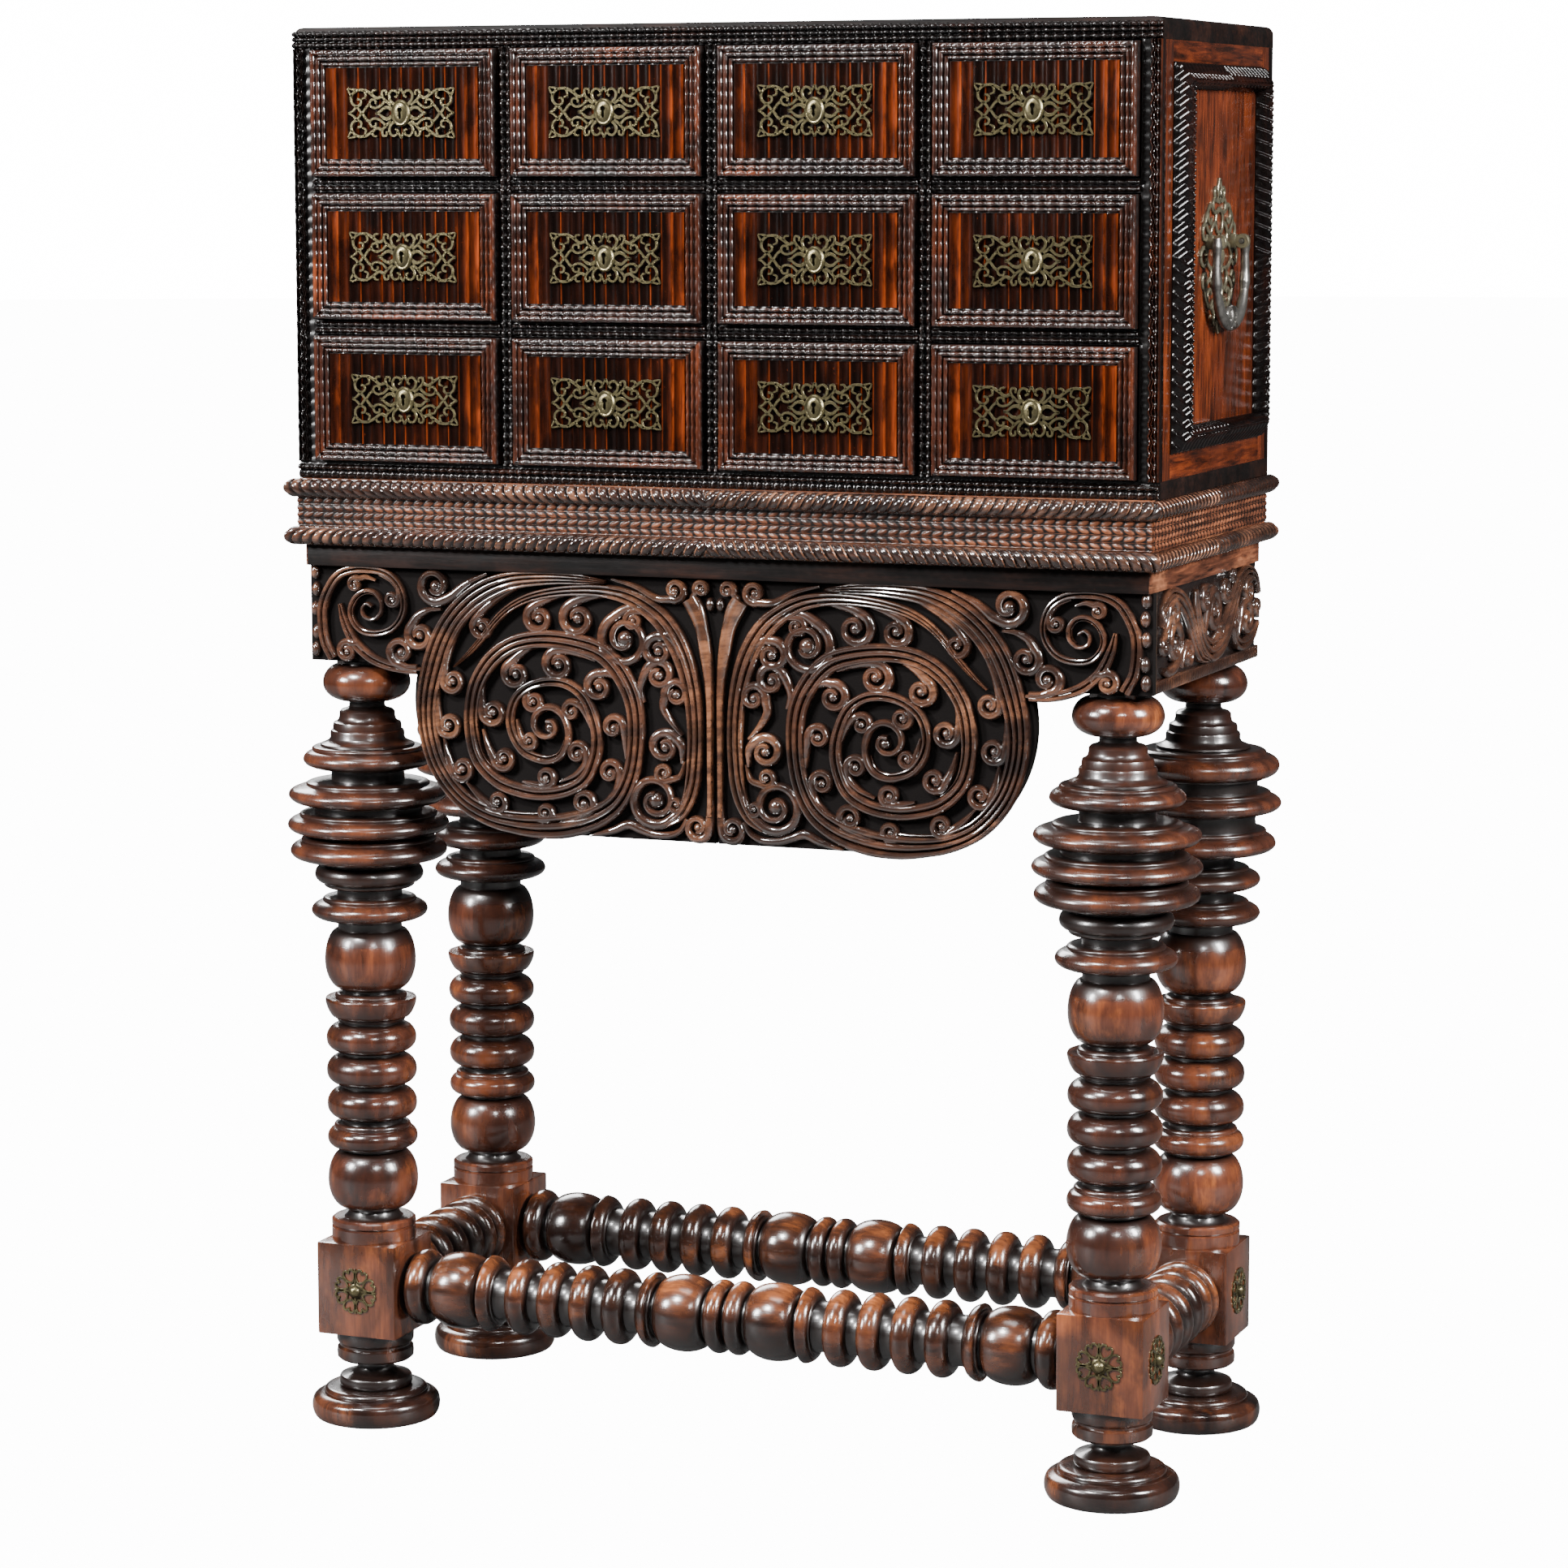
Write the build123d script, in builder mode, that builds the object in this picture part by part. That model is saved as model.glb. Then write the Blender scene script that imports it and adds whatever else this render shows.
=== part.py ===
from build123d import *

import os
from math import cos, radians, sin

# A vargueno: a cabinet of twelve small drawers on a stand with disc-turned legs and a carved apron.
# Millimetres, +X to the viewer's right, +Y to the back, +Z up, origin on the floor under the stand's middle.

# Cabinet carcass
cabinet_width = 920.0
cabinet_depth = 392.0
top_board = 21.5
side_board = 21.5
bottom_board = 17.5
back_board = 12.0
shelf_thickness = 14.0
partition_thickness = 15.0
top_edge_round = 8.0
moulding_rise = 8.0
moulding_groove = 4.0

# Drawers
columns = 4
rows = 3
opening_height = 130.0
front_clearance = 1.25
side_clearance = 1.5
running_gap = 0.3
front_board = 18.0
front_frame_width = 18.0
front_frame_rise = 7.0
front_frame_lip = 2.5
panel_rise = 3.5
drawer_wall = 8.0
drawer_floor = 5.0
drawer_end_gap = 15.0
drawer_head_gap = 6.0

# Locks
plate_length = 120.0
plate_width = 50.0
plate_thickness = 2.0
boss_length = 28.0
boss_width = 22.0
boss_rise = 3.5
keyhole_width = 3.0
keyhole_length = 11.0
lock_length = 52.0
lock_width = 36.0
lock_depth = 9.0

# Raised frames, handle plates and bails on the cabinet's sides
side_frame_margin_y = 39.0
side_frame_margin_z = 42.0
side_frame_width = 25.0
side_frame_rise = 18.0
side_frame_lip = 3.0
handle_plate_depth = 128.0
handle_plate_height = 150.0
handle_plate_thickness = 2.5
handle_boss_radius = 11.0
handle_boss_rise = 5.0
handle_pivot_rise = 14.0
eye_radius = 6.0
eye_length = 7.0
eye_standoff = 14.0
pin_radius = 3.0
pin_clearance = 0.3
bail_gap = 0.5
bail_half_span = 50.0
bail_drop = 88.0
bail_bar = 11.0
bail_thickness = 9.0
bail_scroll_radius = 15.0

# Plinth under the cabinet, with its rope mouldings
plinth_height = 68.0
plinth_board = 24.0
plinth_overhang_y = 7.0
plinth_set_in_x = 1.0
rope_radius = 9.5

# Rails of the stand
rail_height = 22.0
rail_width = 45.0
back_rail_drop = 60.0

# Carved aprons
apron_thickness = 22.0
apron_ground = 12.0
apron_drop = 99.0
lobe_from_end = 252.0
lobe_half_width = 134.0
lobe_half_height = 132.0
lobe_bottom_drop = 267.0
slit_width = 9.0
slit_top_drop = 27.0
spiral_from_lobe = 11.0
spiral_top_drop = 15.0
spiral_radius = 130.0
spiral_step = 10.1
spiral_quarter_count = 11
spiral_band = 17.0
volute_radius = 9.0
volute_spacing = 50.0
volute_count = 11
corner_scroll_from_end = 68.0
corner_scroll_top_drop = 11.0
corner_scroll_radius = 34.0
corner_scroll_step = 5.0
corner_quarter_count = 5
corner_scroll_band = 8.0
corner_volute_radius = 13.0
corner_volute_from_end = 108.0
stem_band = 13.0
stem_x = 20.0
stem_flare_drop = 110.0
stem_flare_reach = 42.0
side_field_depth = 4.0
side_field_margin = 15.0
side_stem_band = 8.0
side_stem_reach = 135.0
side_volute_radius = 14.0

# Legs, blocks and feet
stand_set_in_x = 7.0
stand_set_in_y = 3.0
block_width = 90.0
block_height = 99.0
post_height = 105.0
stretcher_rise = 49.5
great_disc_radius = 84.2
bead_radius = 47.3
bun_radius = 45.5
waist_radius = 34.0
bead_groove = 31.0
foot_bun_radius = 67.3

# Rosettes on the blocks
rosette_radius = 25.5
rosette_rise = 2.5
rosette_boss_radius = 8.0
rosette_boss_rise = 6.0

# Each turned ring is its kind, its thickness, its radius and the radius of the groove above it.
lower_leg_rings = [
    ("collar", 23.0, 44.3, 27.0),
    ("neck", 9.5, 27.0, 27.0),
    ("ball", 62.0, bead_radius, bead_groove),
    ("bead", 31.0, bead_radius, bead_groove),
    ("bead", 36.0, bead_radius, bead_groove),
    ("bead", 36.0, bead_radius, bead_groove),
    ("bead", 34.0, bead_radius, bead_groove),
    ("bead", 32.0, bead_radius, bead_groove),
    ("ball", 67.0, bead_radius, waist_radius),
    ("neck", 9.0, waist_radius, waist_radius),
]
front_disc_rings = [
    ("disc", 25.0, 60.6, waist_radius),
    ("neck", 10.0, waist_radius, waist_radius),
    ("disc", 26.0, 56.6, 45.0),
    ("disc", 29.0, 81.5, 60.0),
    ("disc", 25.0, great_disc_radius, 56.0),
    ("neck", 7.0, 56.0, 56.0),
    ("disc", 25.0, 82.6, 38.0),
    ("neck", 13.0, 38.0, 38.0),
    ("disc", 24.0, 67.0, 49.0),
]
back_disc_rings = [
    ("disc", 25.0, 61.0, waist_radius),
    ("neck", 10.0, waist_radius, waist_radius),
    ("disc", 26.0, 61.0, waist_radius),
    ("neck", 12.0, waist_radius, waist_radius),
    ("disc", 27.0, 76.4, 56.0),
    ("neck", 16.0, 56.0, 56.0),
    ("disc", 24.0, 81.5, 57.0),
    ("neck", 13.0, 57.0, 57.0),
    ("disc", 31.0, 79.3, 49.0),
]
upper_leg_rings = [
    ("neck", 0.0, 49.0, 38.0),
    ("neck", 27.0, 38.0, 30.0),
    ("neck", 13.0, 30.0, 18.5),
    ("neck", 6.5, 18.5, 18.5),
    ("ball", 38.5, bun_radius, 24.0),
]
foot_rings = [
    ("bun", 33.0, foot_bun_radius, 36.0),
    ("disc", 17.0, 38.0, 19.2),
    ("neck", 12.0, 19.2, 19.2),
    ("disc", 14.0, 40.0, 36.0),
    ("neck", 18.5, 36.0, 41.0),
]
stretcher_end = [
    ("disc", 22.0, 40.0, 27.0),
    ("ball", 66.0, 40.0, 28.0),
]
stretcher_bead = ("disc", 37.0, 39.5, 27.0)
stretcher_thin_disc = ("disc", 20.0, 39.0, 28.0)
stretcher_ball = ("ball", 58.0, 40.0, 27.0)
stretcher_middle = ("disc", 22.0, 38.0, 27.0)
long_bead_count = 4
short_bead_count = 5

# Where a ring's outline turns: the share of its thickness and the share of its radius.
ring_turns = {
    "disc": [(0.38, 1.0), (0.62, 1.0)],
    "bead": [(0.36, 1.0), (0.64, 1.0)],
    "ball": [(0.19, 0.86), (0.5, 1.0), (0.81, 0.86)],
    "bun": [(0.0, 0.9), (0.45, 1.0), (0.8, 0.86)],
    "collar": [(0.0, 1.0), (1.0, 1.0)],
    "neck": [(0.0, 1.0)],
}


def thickness_of(rings):
    """The height of a stack of turned rings."""
    return sum(ring[1] for ring in rings)


def stretched(rings, height):
    """The same rings with their thicknesses scaled so that they stack to `height`."""
    scale = height / thickness_of(rings)
    return [(kind, thickness * scale, radius, groove) for kind, thickness, radius, groove in rings]


# Heights of the stand, from the floor up
block_bottom = thickness_of(foot_rings)
block_top = block_bottom + block_height
front_leg_rings = lower_leg_rings + front_disc_rings + upper_leg_rings
disc_stack_height = thickness_of(front_disc_rings)
back_leg_rings = lower_leg_rings + stretched(back_disc_rings, disc_stack_height) + upper_leg_rings
post_bottom = block_top + thickness_of(front_leg_rings)
post_top = post_bottom + post_height
rail_top = post_top + rail_height
cabinet_bottom = rail_top + plinth_height
stretcher_z = block_bottom + stretcher_rise

# Plan of the cabinet and the stand
half_width = cabinet_width / 2
inner_half_width = half_width - side_board
opening_width = (2 * inner_half_width - (columns - 1) * partition_thickness) / columns
plinth_half_x = half_width - plinth_set_in_x
plinth_half_y = cabinet_depth / 2 + plinth_overhang_y
stand_half_x = half_width - stand_set_in_x
stand_half_y = cabinet_depth / 2 - stand_set_in_y
leg_spread_x = stand_half_x - block_width / 2
leg_spread_y = stand_half_y - block_width / 2
post_half = block_width / 2 - apron_thickness
apron_seat = leg_spread_y + post_half
side_apron_seat = leg_spread_x + post_half
lobe_x = stand_half_x - lobe_from_end
spiral_x = lobe_x - spiral_from_lobe
corner_scroll_x = stand_half_x - corner_scroll_from_end
corner_volute_x = stand_half_x - corner_volute_from_end

# Heights and places in the cabinet
cabinet_height = rows * opening_height + (rows - 1) * shelf_thickness + top_board + bottom_board
cabinet_top_z = cabinet_bottom + cabinet_height
carcass_front = -cabinet_depth / 2 + moulding_rise
carcass_back = cabinet_depth / 2
column_pitch = opening_width + partition_thickness
row_pitch = opening_height + shelf_thickness
floor_z = cabinet_bottom + bottom_board
ceiling_z = cabinet_top_z - top_board
column_centres = [column_pitch * (column - (columns - 1) / 2) for column in range(columns)]
row_floors = [floor_z + row_pitch * row for row in range(rows)]
front_face = -cabinet_depth / 2
front_back = front_face + front_board
panel_face = front_face - panel_rise
drawer_back = carcass_back - back_board - drawer_end_gap
side_middle_z = cabinet_bottom + cabinet_height / 2
side_frame_depth = cabinet_depth - 2 * side_frame_margin_y
side_frame_height = cabinet_height - 2 * side_frame_margin_z


def save(name, *pieces):
    """Write one node, made of one solid or of several separate ones."""
    node = pieces[0] if len(pieces) == 1 else Compound(children=list(pieces))
    node.label = name
    export_step(node, f"parts/{name}.step")


def board(x, y, z):
    """A board that fills the (low, high) ranges x, y and z."""
    with BuildPart() as plank:
        with BuildSketch(Plane.XY.offset(z[0])):
            with Locations(((x[0] + x[1]) / 2, (y[0] + y[1]) / 2)):
                Rectangle(x[1] - x[0], y[1] - y[0])
        extrude(amount=z[1] - z[0])
    return plank.part


def mitred_frame(half_x, half_y, section, place=Location()):
    """Four mitred lengths of one section, which is drawn from the frame's outer edge inwards and upwards."""
    lengths = []
    for turn in (0, 90, 180, 270):
        run, face = (half_x, half_y) if turn % 180 == 0 else (half_y, half_x)
        with BuildPart() as length:
            with BuildSketch(Plane.YZ.offset(-run - rope_radius)):
                with Locations((-face, 0)):
                    add(section)
            extrude(amount=2 * (run + rope_radius))
            for side in (1, -1):
                mitre = Plane(origin=(side * run, -face, 0), x_dir=(0, 0, 1), z_dir=(side, 1, 0))
                split(bisect_by=mitre, keep=Keep.BOTTOM)
        lengths.append(length.part.rotate(Axis.Z, turn).moved(place))
    return lengths


def turned_outline(rings, start=0.0):
    """The (radius, distance) points of turned rings stacked from `start`, from the axis back to it."""
    points = [(0.0, start)]
    at = start
    for kind, thickness, radius, groove in rings:
        points += [(radius * wide, at + thickness * far) for far, wide in ring_turns[kind]]
        at += thickness
        points.append((groove, at))
    points.append((0.0, at))
    return [point for point, before in zip(points, [None] + points) if point != before]


def turned(points, origin, along):
    """A solid turned from the outline `points` about the line through `origin` in the direction `along`."""
    across = Vector(1, 0, 0) if along == (0, 0, 1) else Vector(0, 0, 1)
    with BuildPart() as turning:
        with BuildSketch(Plane(origin=origin, x_dir=across, z_dir=across.cross(Vector(*along)))):
            with BuildLine():
                Polyline(*points, close=True)
            make_face()
        revolve(axis=Axis(origin, along))
    return turning.part


def double_bead(width):
    """The section of a strip with two ridges, which rise along Y."""
    with BuildSketch() as section:
        with BuildLine():
            Polyline(
                (-width / 2, 0),
                (-width / 2, moulding_groove),
                (-width / 4, moulding_rise),
                (0, moulding_groove),
                (width / 4, moulding_rise),
                (width / 2, moulding_groove),
                (width / 2, 0),
                close=True,
            )
        make_face()
    return section.sketch


def upright_strip(x, width, z):
    """An upright double-ridged strip on the carcass's front edge."""
    with BuildPart() as strip:
        with BuildSketch(Plane(origin=(x, carcass_front, z[0]), x_dir=(-1, 0, 0), z_dir=(0, 0, 1))):
            add(double_bead(width))
        extrude(amount=z[1] - z[0])
    return strip.part


def level_strip(x, z, height):
    """A level double-ridged strip on the carcass's front edge."""
    with BuildPart() as strip:
        with BuildSketch(Plane(origin=(x[0], carcass_front, z), x_dir=(0, 0, 1), z_dir=(1, 0, 0))):
            add(double_bead(height))
        extrude(amount=x[1] - x[0])
    return strip.part


def make_cabinet():
    """The carcass boards, the dividers between the drawers and the mouldings on their front edges."""
    with BuildPart() as cabinet_top:
        with BuildSketch(Plane.XY.offset(ceiling_z)):
            with Locations((0, (carcass_front + carcass_back) / 2)):
                Rectangle(cabinet_width, carcass_back - carcass_front)
        extrude(amount=top_board)
        fillet(cabinet_top.edges().filter_by(Axis.Y).group_by(Axis.Z)[-1], radius=top_edge_round)
    save("cabinet_top", cabinet_top.part)
    full = (-half_width, half_width)
    save("cabinet_bottom", board(full, (carcass_front, carcass_back), (cabinet_bottom, floor_z)))
    for name, side in (("cabinet_side_left", -1), ("cabinet_side_right", 1)):
        reach = sorted((side * inner_half_width, side * half_width))
        save(name, board(reach, (carcass_front, carcass_back), (floor_z, ceiling_z)))
    inside = (-inner_half_width, inner_half_width)
    save("cabinet_back", board(inside, (carcass_back - back_board, carcass_back), (floor_z, ceiling_z)))

    dividers = []
    top_strip = top_board - top_edge_round / 2
    strips = [
        level_strip(full, ceiling_z + top_strip / 2, top_strip),
        level_strip(full, cabinet_bottom + bottom_board / 2, bottom_board),
        upright_strip(-half_width + side_board / 2, side_board, (floor_z, ceiling_z)),
        upright_strip(half_width - side_board / 2, side_board, (floor_z, ceiling_z)),
    ]
    depth = (carcass_front, carcass_back - back_board)
    for row, bottom in enumerate(row_floors):
        top = bottom + opening_height
        for left, right in zip(column_centres, column_centres[1:]):
            middle = (left + right) / 2
            reach = (middle - partition_thickness / 2, middle + partition_thickness / 2)
            dividers.append(board(reach, depth, (bottom, top)))
            strips.append(upright_strip(middle, partition_thickness, (bottom, top)))
        if row < rows - 1:
            dividers.append(board(inside, depth, (top, top + shelf_thickness)))
            strips.append(level_strip(inside, top + shelf_thickness / 2, shelf_thickness))
    save("cabinet_dividers", *dividers)
    save("cabinet_front_mouldings", *strips)


def make_drawer(x, bottom):
    """A drawer: the moulded front, then the floor, two sides and the back of its box."""
    width = opening_width - 2 * front_clearance
    height = opening_height - 2 * front_clearance
    face = Plane(origin=(x, front_face, bottom + opening_height / 2), x_dir=(1, 0, 0), z_dir=(0, -1, 0))
    slope = front_frame_rise - front_frame_lip
    with BuildPart() as front:
        with BuildSketch(face.offset(-front_board)):
            Rectangle(width, height)
        extrude(amount=front_board + front_frame_lip)
        with BuildSketch(face.offset(front_frame_lip)):
            Rectangle(width, height)
        extrude(amount=slope, taper=45)
        with BuildSketch(face.offset(panel_rise)):
            Rectangle(width - 2 * front_frame_width, height - 2 * front_frame_width)
        extrude(amount=front_frame_rise, mode=Mode.SUBTRACT)
    half = opening_width / 2 - side_clearance
    base = bottom + running_gap
    floor_top = base + drawer_floor
    wall_top = bottom + opening_height - drawer_head_gap
    box = [board((x - half, x + half), (front_back, drawer_back), (base, floor_top))]
    for side in (-1, 1):
        reach = sorted((x + side * half, x + side * (half - drawer_wall)))
        box.append(board(reach, (front_back, drawer_back), (floor_top, wall_top)))
    inner = (x - half + drawer_wall, x + half - drawer_wall)
    box.append(board(inner, (drawer_back - drawer_wall, drawer_back), (floor_top, wall_top)))
    return front.part, *box


def make_lock(x, bottom):
    """A lock: the pointed plate with its raised oval boss and keyhole, and the case behind the front."""
    face = Plane(origin=(x, panel_face, bottom + opening_height / 2), x_dir=(1, 0, 0), z_dir=(0, -1, 0))
    with BuildPart() as plate:
        with BuildSketch(face):
            with BuildLine():
                Polyline(
                    (0, 0.36 * plate_width),
                    (0.22 * plate_length, 0.5 * plate_width),
                    (0.34 * plate_length, 0.26 * plate_width),
                    (0.5 * plate_length, 0),
                )
                mirror(about=Plane.XZ)
                mirror(about=Plane.YZ)
            make_face()
        extrude(amount=plate_thickness)
        with BuildSketch(face.offset(plate_thickness)):
            Ellipse(boss_width / 2, boss_length / 2)
        extrude(amount=boss_rise)
        with BuildSketch(face):
            Rectangle(keyhole_width, keyhole_length)
        extrude(amount=plate_thickness + boss_rise, mode=Mode.SUBTRACT)
    top = bottom + opening_height / 2 + lock_width / 2
    reach = (x - lock_length / 2, x + lock_length / 2)
    case = board(reach, (front_back, front_back + lock_depth), (top - lock_width, top))
    return plate.part, case


def make_side_fittings(name, side):
    """The raised frame, the handle plate with its two eyes, and the swinging bail of one side."""
    wall = Plane(origin=(side * half_width, 0, side_middle_z), x_dir=(0, side, 0), z_dir=(side, 0, 0))

    with BuildSketch() as slope:
        with BuildLine():
            Polyline(
                (0, 0),
                (0, side_frame_lip),
                (side_frame_width - side_frame_lip, side_frame_rise),
                (side_frame_width, side_frame_rise - side_frame_lip),
                (side_frame_width, 0),
                close=True,
            )
        make_face()
    frame = mitred_frame(side_frame_depth / 2, side_frame_height / 2, slope.sketch, wall.location)
    save(f"side_frame_{name}", *frame)

    half_depth = handle_plate_depth / 2
    half_height = handle_plate_height / 2
    pivot = wall.origin + wall.z_dir * eye_standoff + Vector(0, 0, handle_pivot_rise)
    with BuildPart() as plate:
        with BuildSketch(wall):
            with BuildLine():
                Polyline((0, half_height), (0.22 * half_depth, 0.8 * half_height))
                ThreePointArc(
                    (0.22 * half_depth, 0.8 * half_height),
                    (0.7 * half_depth, 0.75 * half_height),
                    (0.85 * half_depth, 0.4 * half_height),
                )
                Line((0.85 * half_depth, 0.4 * half_height), (half_depth, 0))
                mirror(about=Plane.XZ)
                mirror(about=Plane.YZ)
            make_face()
        extrude(amount=handle_plate_thickness)
        with BuildSketch(wall.offset(handle_plate_thickness)):
            Circle(handle_boss_radius)
        extrude(amount=handle_boss_rise, taper=30)
        for hand in (-1, 1):
            inner_face = hand * (bail_half_span - bail_bar / 2 - bail_gap)
            eye = Plane(origin=pivot + Vector(0, inner_face, 0), x_dir=(side, 0, 0), z_dir=(0, -hand, 0))
            with BuildSketch(eye):
                Circle(eye_radius)
                with Locations((-eye_standoff / 2, 0)):
                    Rectangle(eye_standoff, 2 * eye_radius)
                Circle(pin_radius + pin_clearance, mode=Mode.SUBTRACT)
            extrude(amount=eye_length)
    save(f"handle_plate_{name}", plate.part)

    bail_plane = Plane(origin=pivot, x_dir=(0, side, 0), z_dir=(side, 0, 0))
    outer = bail_half_span + bail_bar / 2
    inner = bail_half_span - bail_bar / 2
    with BuildPart() as bail:
        with BuildSketch(bail_plane.offset(-bail_thickness / 2)):
            with BuildLine():
                Line((inner, bail_bar / 2), (outer, bail_bar / 2))
                Line((outer, bail_bar / 2), (outer, -0.45 * bail_drop))
                bend_start = (outer, -0.45 * bail_drop)
                ThreePointArc(bend_start, (0.75 * outer, -0.8 * bail_drop), (0, -bail_drop))
                Line((inner, bail_bar / 2), (inner, -0.4 * bail_drop))
                bend_start = (inner, -0.4 * bail_drop)
                bend_end = (0, -bail_drop + 1.6 * bail_bar)
                ThreePointArc(bend_start, (0.72 * inner, -0.66 * bail_drop), bend_end)
                mirror(about=Plane.YZ)
            make_face()
            with Locations((0, -bail_drop + bail_scroll_radius)):
                Circle(bail_scroll_radius)
        extrude(amount=bail_thickness)
        for hand in (-1, 1):
            start = pivot + Vector(0, hand * inner, 0)
            with BuildSketch(Plane(origin=start, x_dir=(0, 0, 1), z_dir=(0, -hand, 0))):
                Circle(pin_radius)
            extrude(amount=eye_length + bail_gap)
    save(f"handle_bail_{name}", bail.part)


def make_plinth():
    """The mitred plinth boards and the two half-round rope mouldings on their faces."""
    with BuildSketch() as plank:
        with Locations((0, rail_top)):
            Rectangle(plinth_board, plinth_height, align=(Align.MIN, Align.MIN))
    save("plinth_band", *mitred_frame(plinth_half_x, plinth_half_y, plank.sketch))

    ropes = []
    for rope_z in (rail_top + rope_radius, cabinet_bottom - rope_radius):
        with BuildSketch() as half_round:
            with Locations((0, rope_z)):
                Circle(rope_radius)
                Rectangle(rope_radius, 2 * rope_radius, align=(Align.MIN, Align.CENTER), mode=Mode.SUBTRACT)
        ropes += mitred_frame(plinth_half_x, plinth_half_y, half_round.sketch)
    save("plinth_ropes", *ropes)


def make_rails():
    """The top frame of the stand and the plain rail under its back."""
    with BuildSketch() as rail:
        with Locations((0, post_top)):
            Rectangle(rail_width, rail_height, align=(Align.MIN, Align.MIN))
    inside = (-side_apron_seat, side_apron_seat)
    back_rail = board(inside, (apron_seat, stand_half_y), (post_top - back_rail_drop, post_top))
    save("stand_rails", *mitred_frame(stand_half_x, stand_half_y, rail.sketch), back_rail)


def scroll(tail, start, radius, step, quarter_count, width):
    """A band from `tail` to `start` that curls inwards from there, `step` tighter at each quarter turn."""
    with BuildSketch() as band:
        with BuildLine():
            Line(tail, start)
            curl = JernArc(start, (-1, 0), radius, 90)
            for quarter in range(1, quarter_count):
                curl = JernArc(curl @ 1, curl % 1, radius - quarter * step, 90)
        trace(line_width=width)
    return band.sketch


def spiral_volutes():
    """The middles of the small volutes that lie in the hollow between the turns of a spiral."""
    quarter = radians(90)
    eye_drop = spiral_top_drop + spiral_radius - spiral_step / 2
    middles = []
    for place in range(volute_count):
        angle = quarter + radians(volute_spacing) * (place + 0.5)
        reach = spiral_radius + spiral_step / 2 - spiral_step * ((angle - quarter) / quarter + 2)
        middles.append((-spiral_x + reach * cos(angle), -eye_drop + reach * sin(angle)))
    return middles


def make_front_apron():
    """The front apron: the ground with two hanging lobes, and the spirals and scrolls carved on it."""
    ground_face = Plane(origin=(0, -apron_seat, post_top), x_dir=(1, 0, 0), z_dir=(0, -1, 0))
    relief = apron_thickness - apron_ground
    spiral_start = (-spiral_x, -spiral_top_drop)
    spiral_tail = (-stem_x - stem_flare_reach, -spiral_top_drop)
    spiral = scroll(
        spiral_tail,
        spiral_start,
        spiral_radius,
        spiral_step,
        spiral_quarter_count,
        spiral_band,
    )
    corner_start = (-corner_scroll_x, -corner_scroll_top_drop)
    corner_tail = (-spiral_x - spiral_radius / 2, -corner_scroll_top_drop)
    corner = scroll(
        corner_tail,
        corner_start,
        corner_scroll_radius,
        corner_scroll_step,
        corner_quarter_count,
        corner_scroll_band,
    )
    with BuildSketch() as stem:
        with BuildLine():
            foot_of_flare = (-stem_x, -stem_flare_drop)
            Line((-stem_x, -lobe_bottom_drop), foot_of_flare)
            flare_end = (-stem_x - stem_flare_reach, -spiral_top_drop)
            TangentArc(foot_of_flare, flare_end, tangent=(0, 1))
        trace(line_width=stem_band)
    with BuildPart() as apron:
        with BuildSketch(ground_face):
            Rectangle(2 * stand_half_x, apron_drop, align=(Align.CENTER, Align.MAX))
            Rectangle(2 * lobe_x, lobe_bottom_drop, align=(Align.CENTER, Align.MAX))
            lobe_drop = lobe_bottom_drop - lobe_half_height
            with Locations((-lobe_x, -lobe_drop), (lobe_x, -lobe_drop)):
                Ellipse(lobe_half_width, lobe_half_height)
            corner_bottom = -apron_drop + corner_volute_radius / 2
            with Locations((-corner_volute_x, corner_bottom), (corner_volute_x, corner_bottom)):
                Circle(corner_volute_radius)
            with Locations((0, -slit_top_drop)):
                Rectangle(slit_width, lobe_bottom_drop, align=(Align.CENTER, Align.MAX), mode=Mode.SUBTRACT)
        extrude(amount=apron_ground)
        with BuildSketch(ground_face.offset(apron_ground)):
            add(spiral)
            add(corner)
            add(stem.sketch)
            with Locations(*spiral_volutes()):
                Circle(volute_radius)
            with Locations((-corner_volute_x, corner_bottom)):
                Circle(corner_volute_radius)
            mirror(about=Plane.YZ)
        extrude(amount=relief)
    save("apron_front", apron.part)


def make_side_apron(name, side):
    """A side apron: a sunk field with two crossing stems that curl into volutes."""
    seat = Plane(origin=(side * side_apron_seat, 0, post_top), x_dir=(0, side, 0), z_dir=(side, 0, 0))
    length = stand_half_y + apron_seat
    middle = side * (stand_half_y - apron_seat) / 2
    field_drop = apron_drop - side_field_margin
    high = -side_stem_band
    low = -field_drop + side_stem_band
    with BuildSketch() as stems:
        with BuildLine():
            ThreePointArc((-side_stem_reach, high), (0, low), (side_stem_reach, high))
            ThreePointArc((-side_stem_reach, low), (0, high), (side_stem_reach, low))
        trace(line_width=side_stem_band)
        with Locations((-side_stem_reach, -field_drop / 2), (side_stem_reach, -field_drop / 2)):
            Circle(side_volute_radius)
    with BuildPart() as apron:
        with BuildSketch(seat):
            with Locations((middle, 0)):
                Rectangle(length, apron_drop, align=(Align.CENTER, Align.MAX))
        extrude(amount=apron_thickness)
        with BuildSketch(seat.offset(apron_thickness - side_field_depth)):
            with Locations((middle, 0)):
                Rectangle(length, field_drop, align=(Align.CENTER, Align.MAX))
                add(stems.sketch, mode=Mode.SUBTRACT)
        extrude(amount=side_field_depth, mode=Mode.SUBTRACT)
    save(f"apron_{name}", apron.part)


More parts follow.
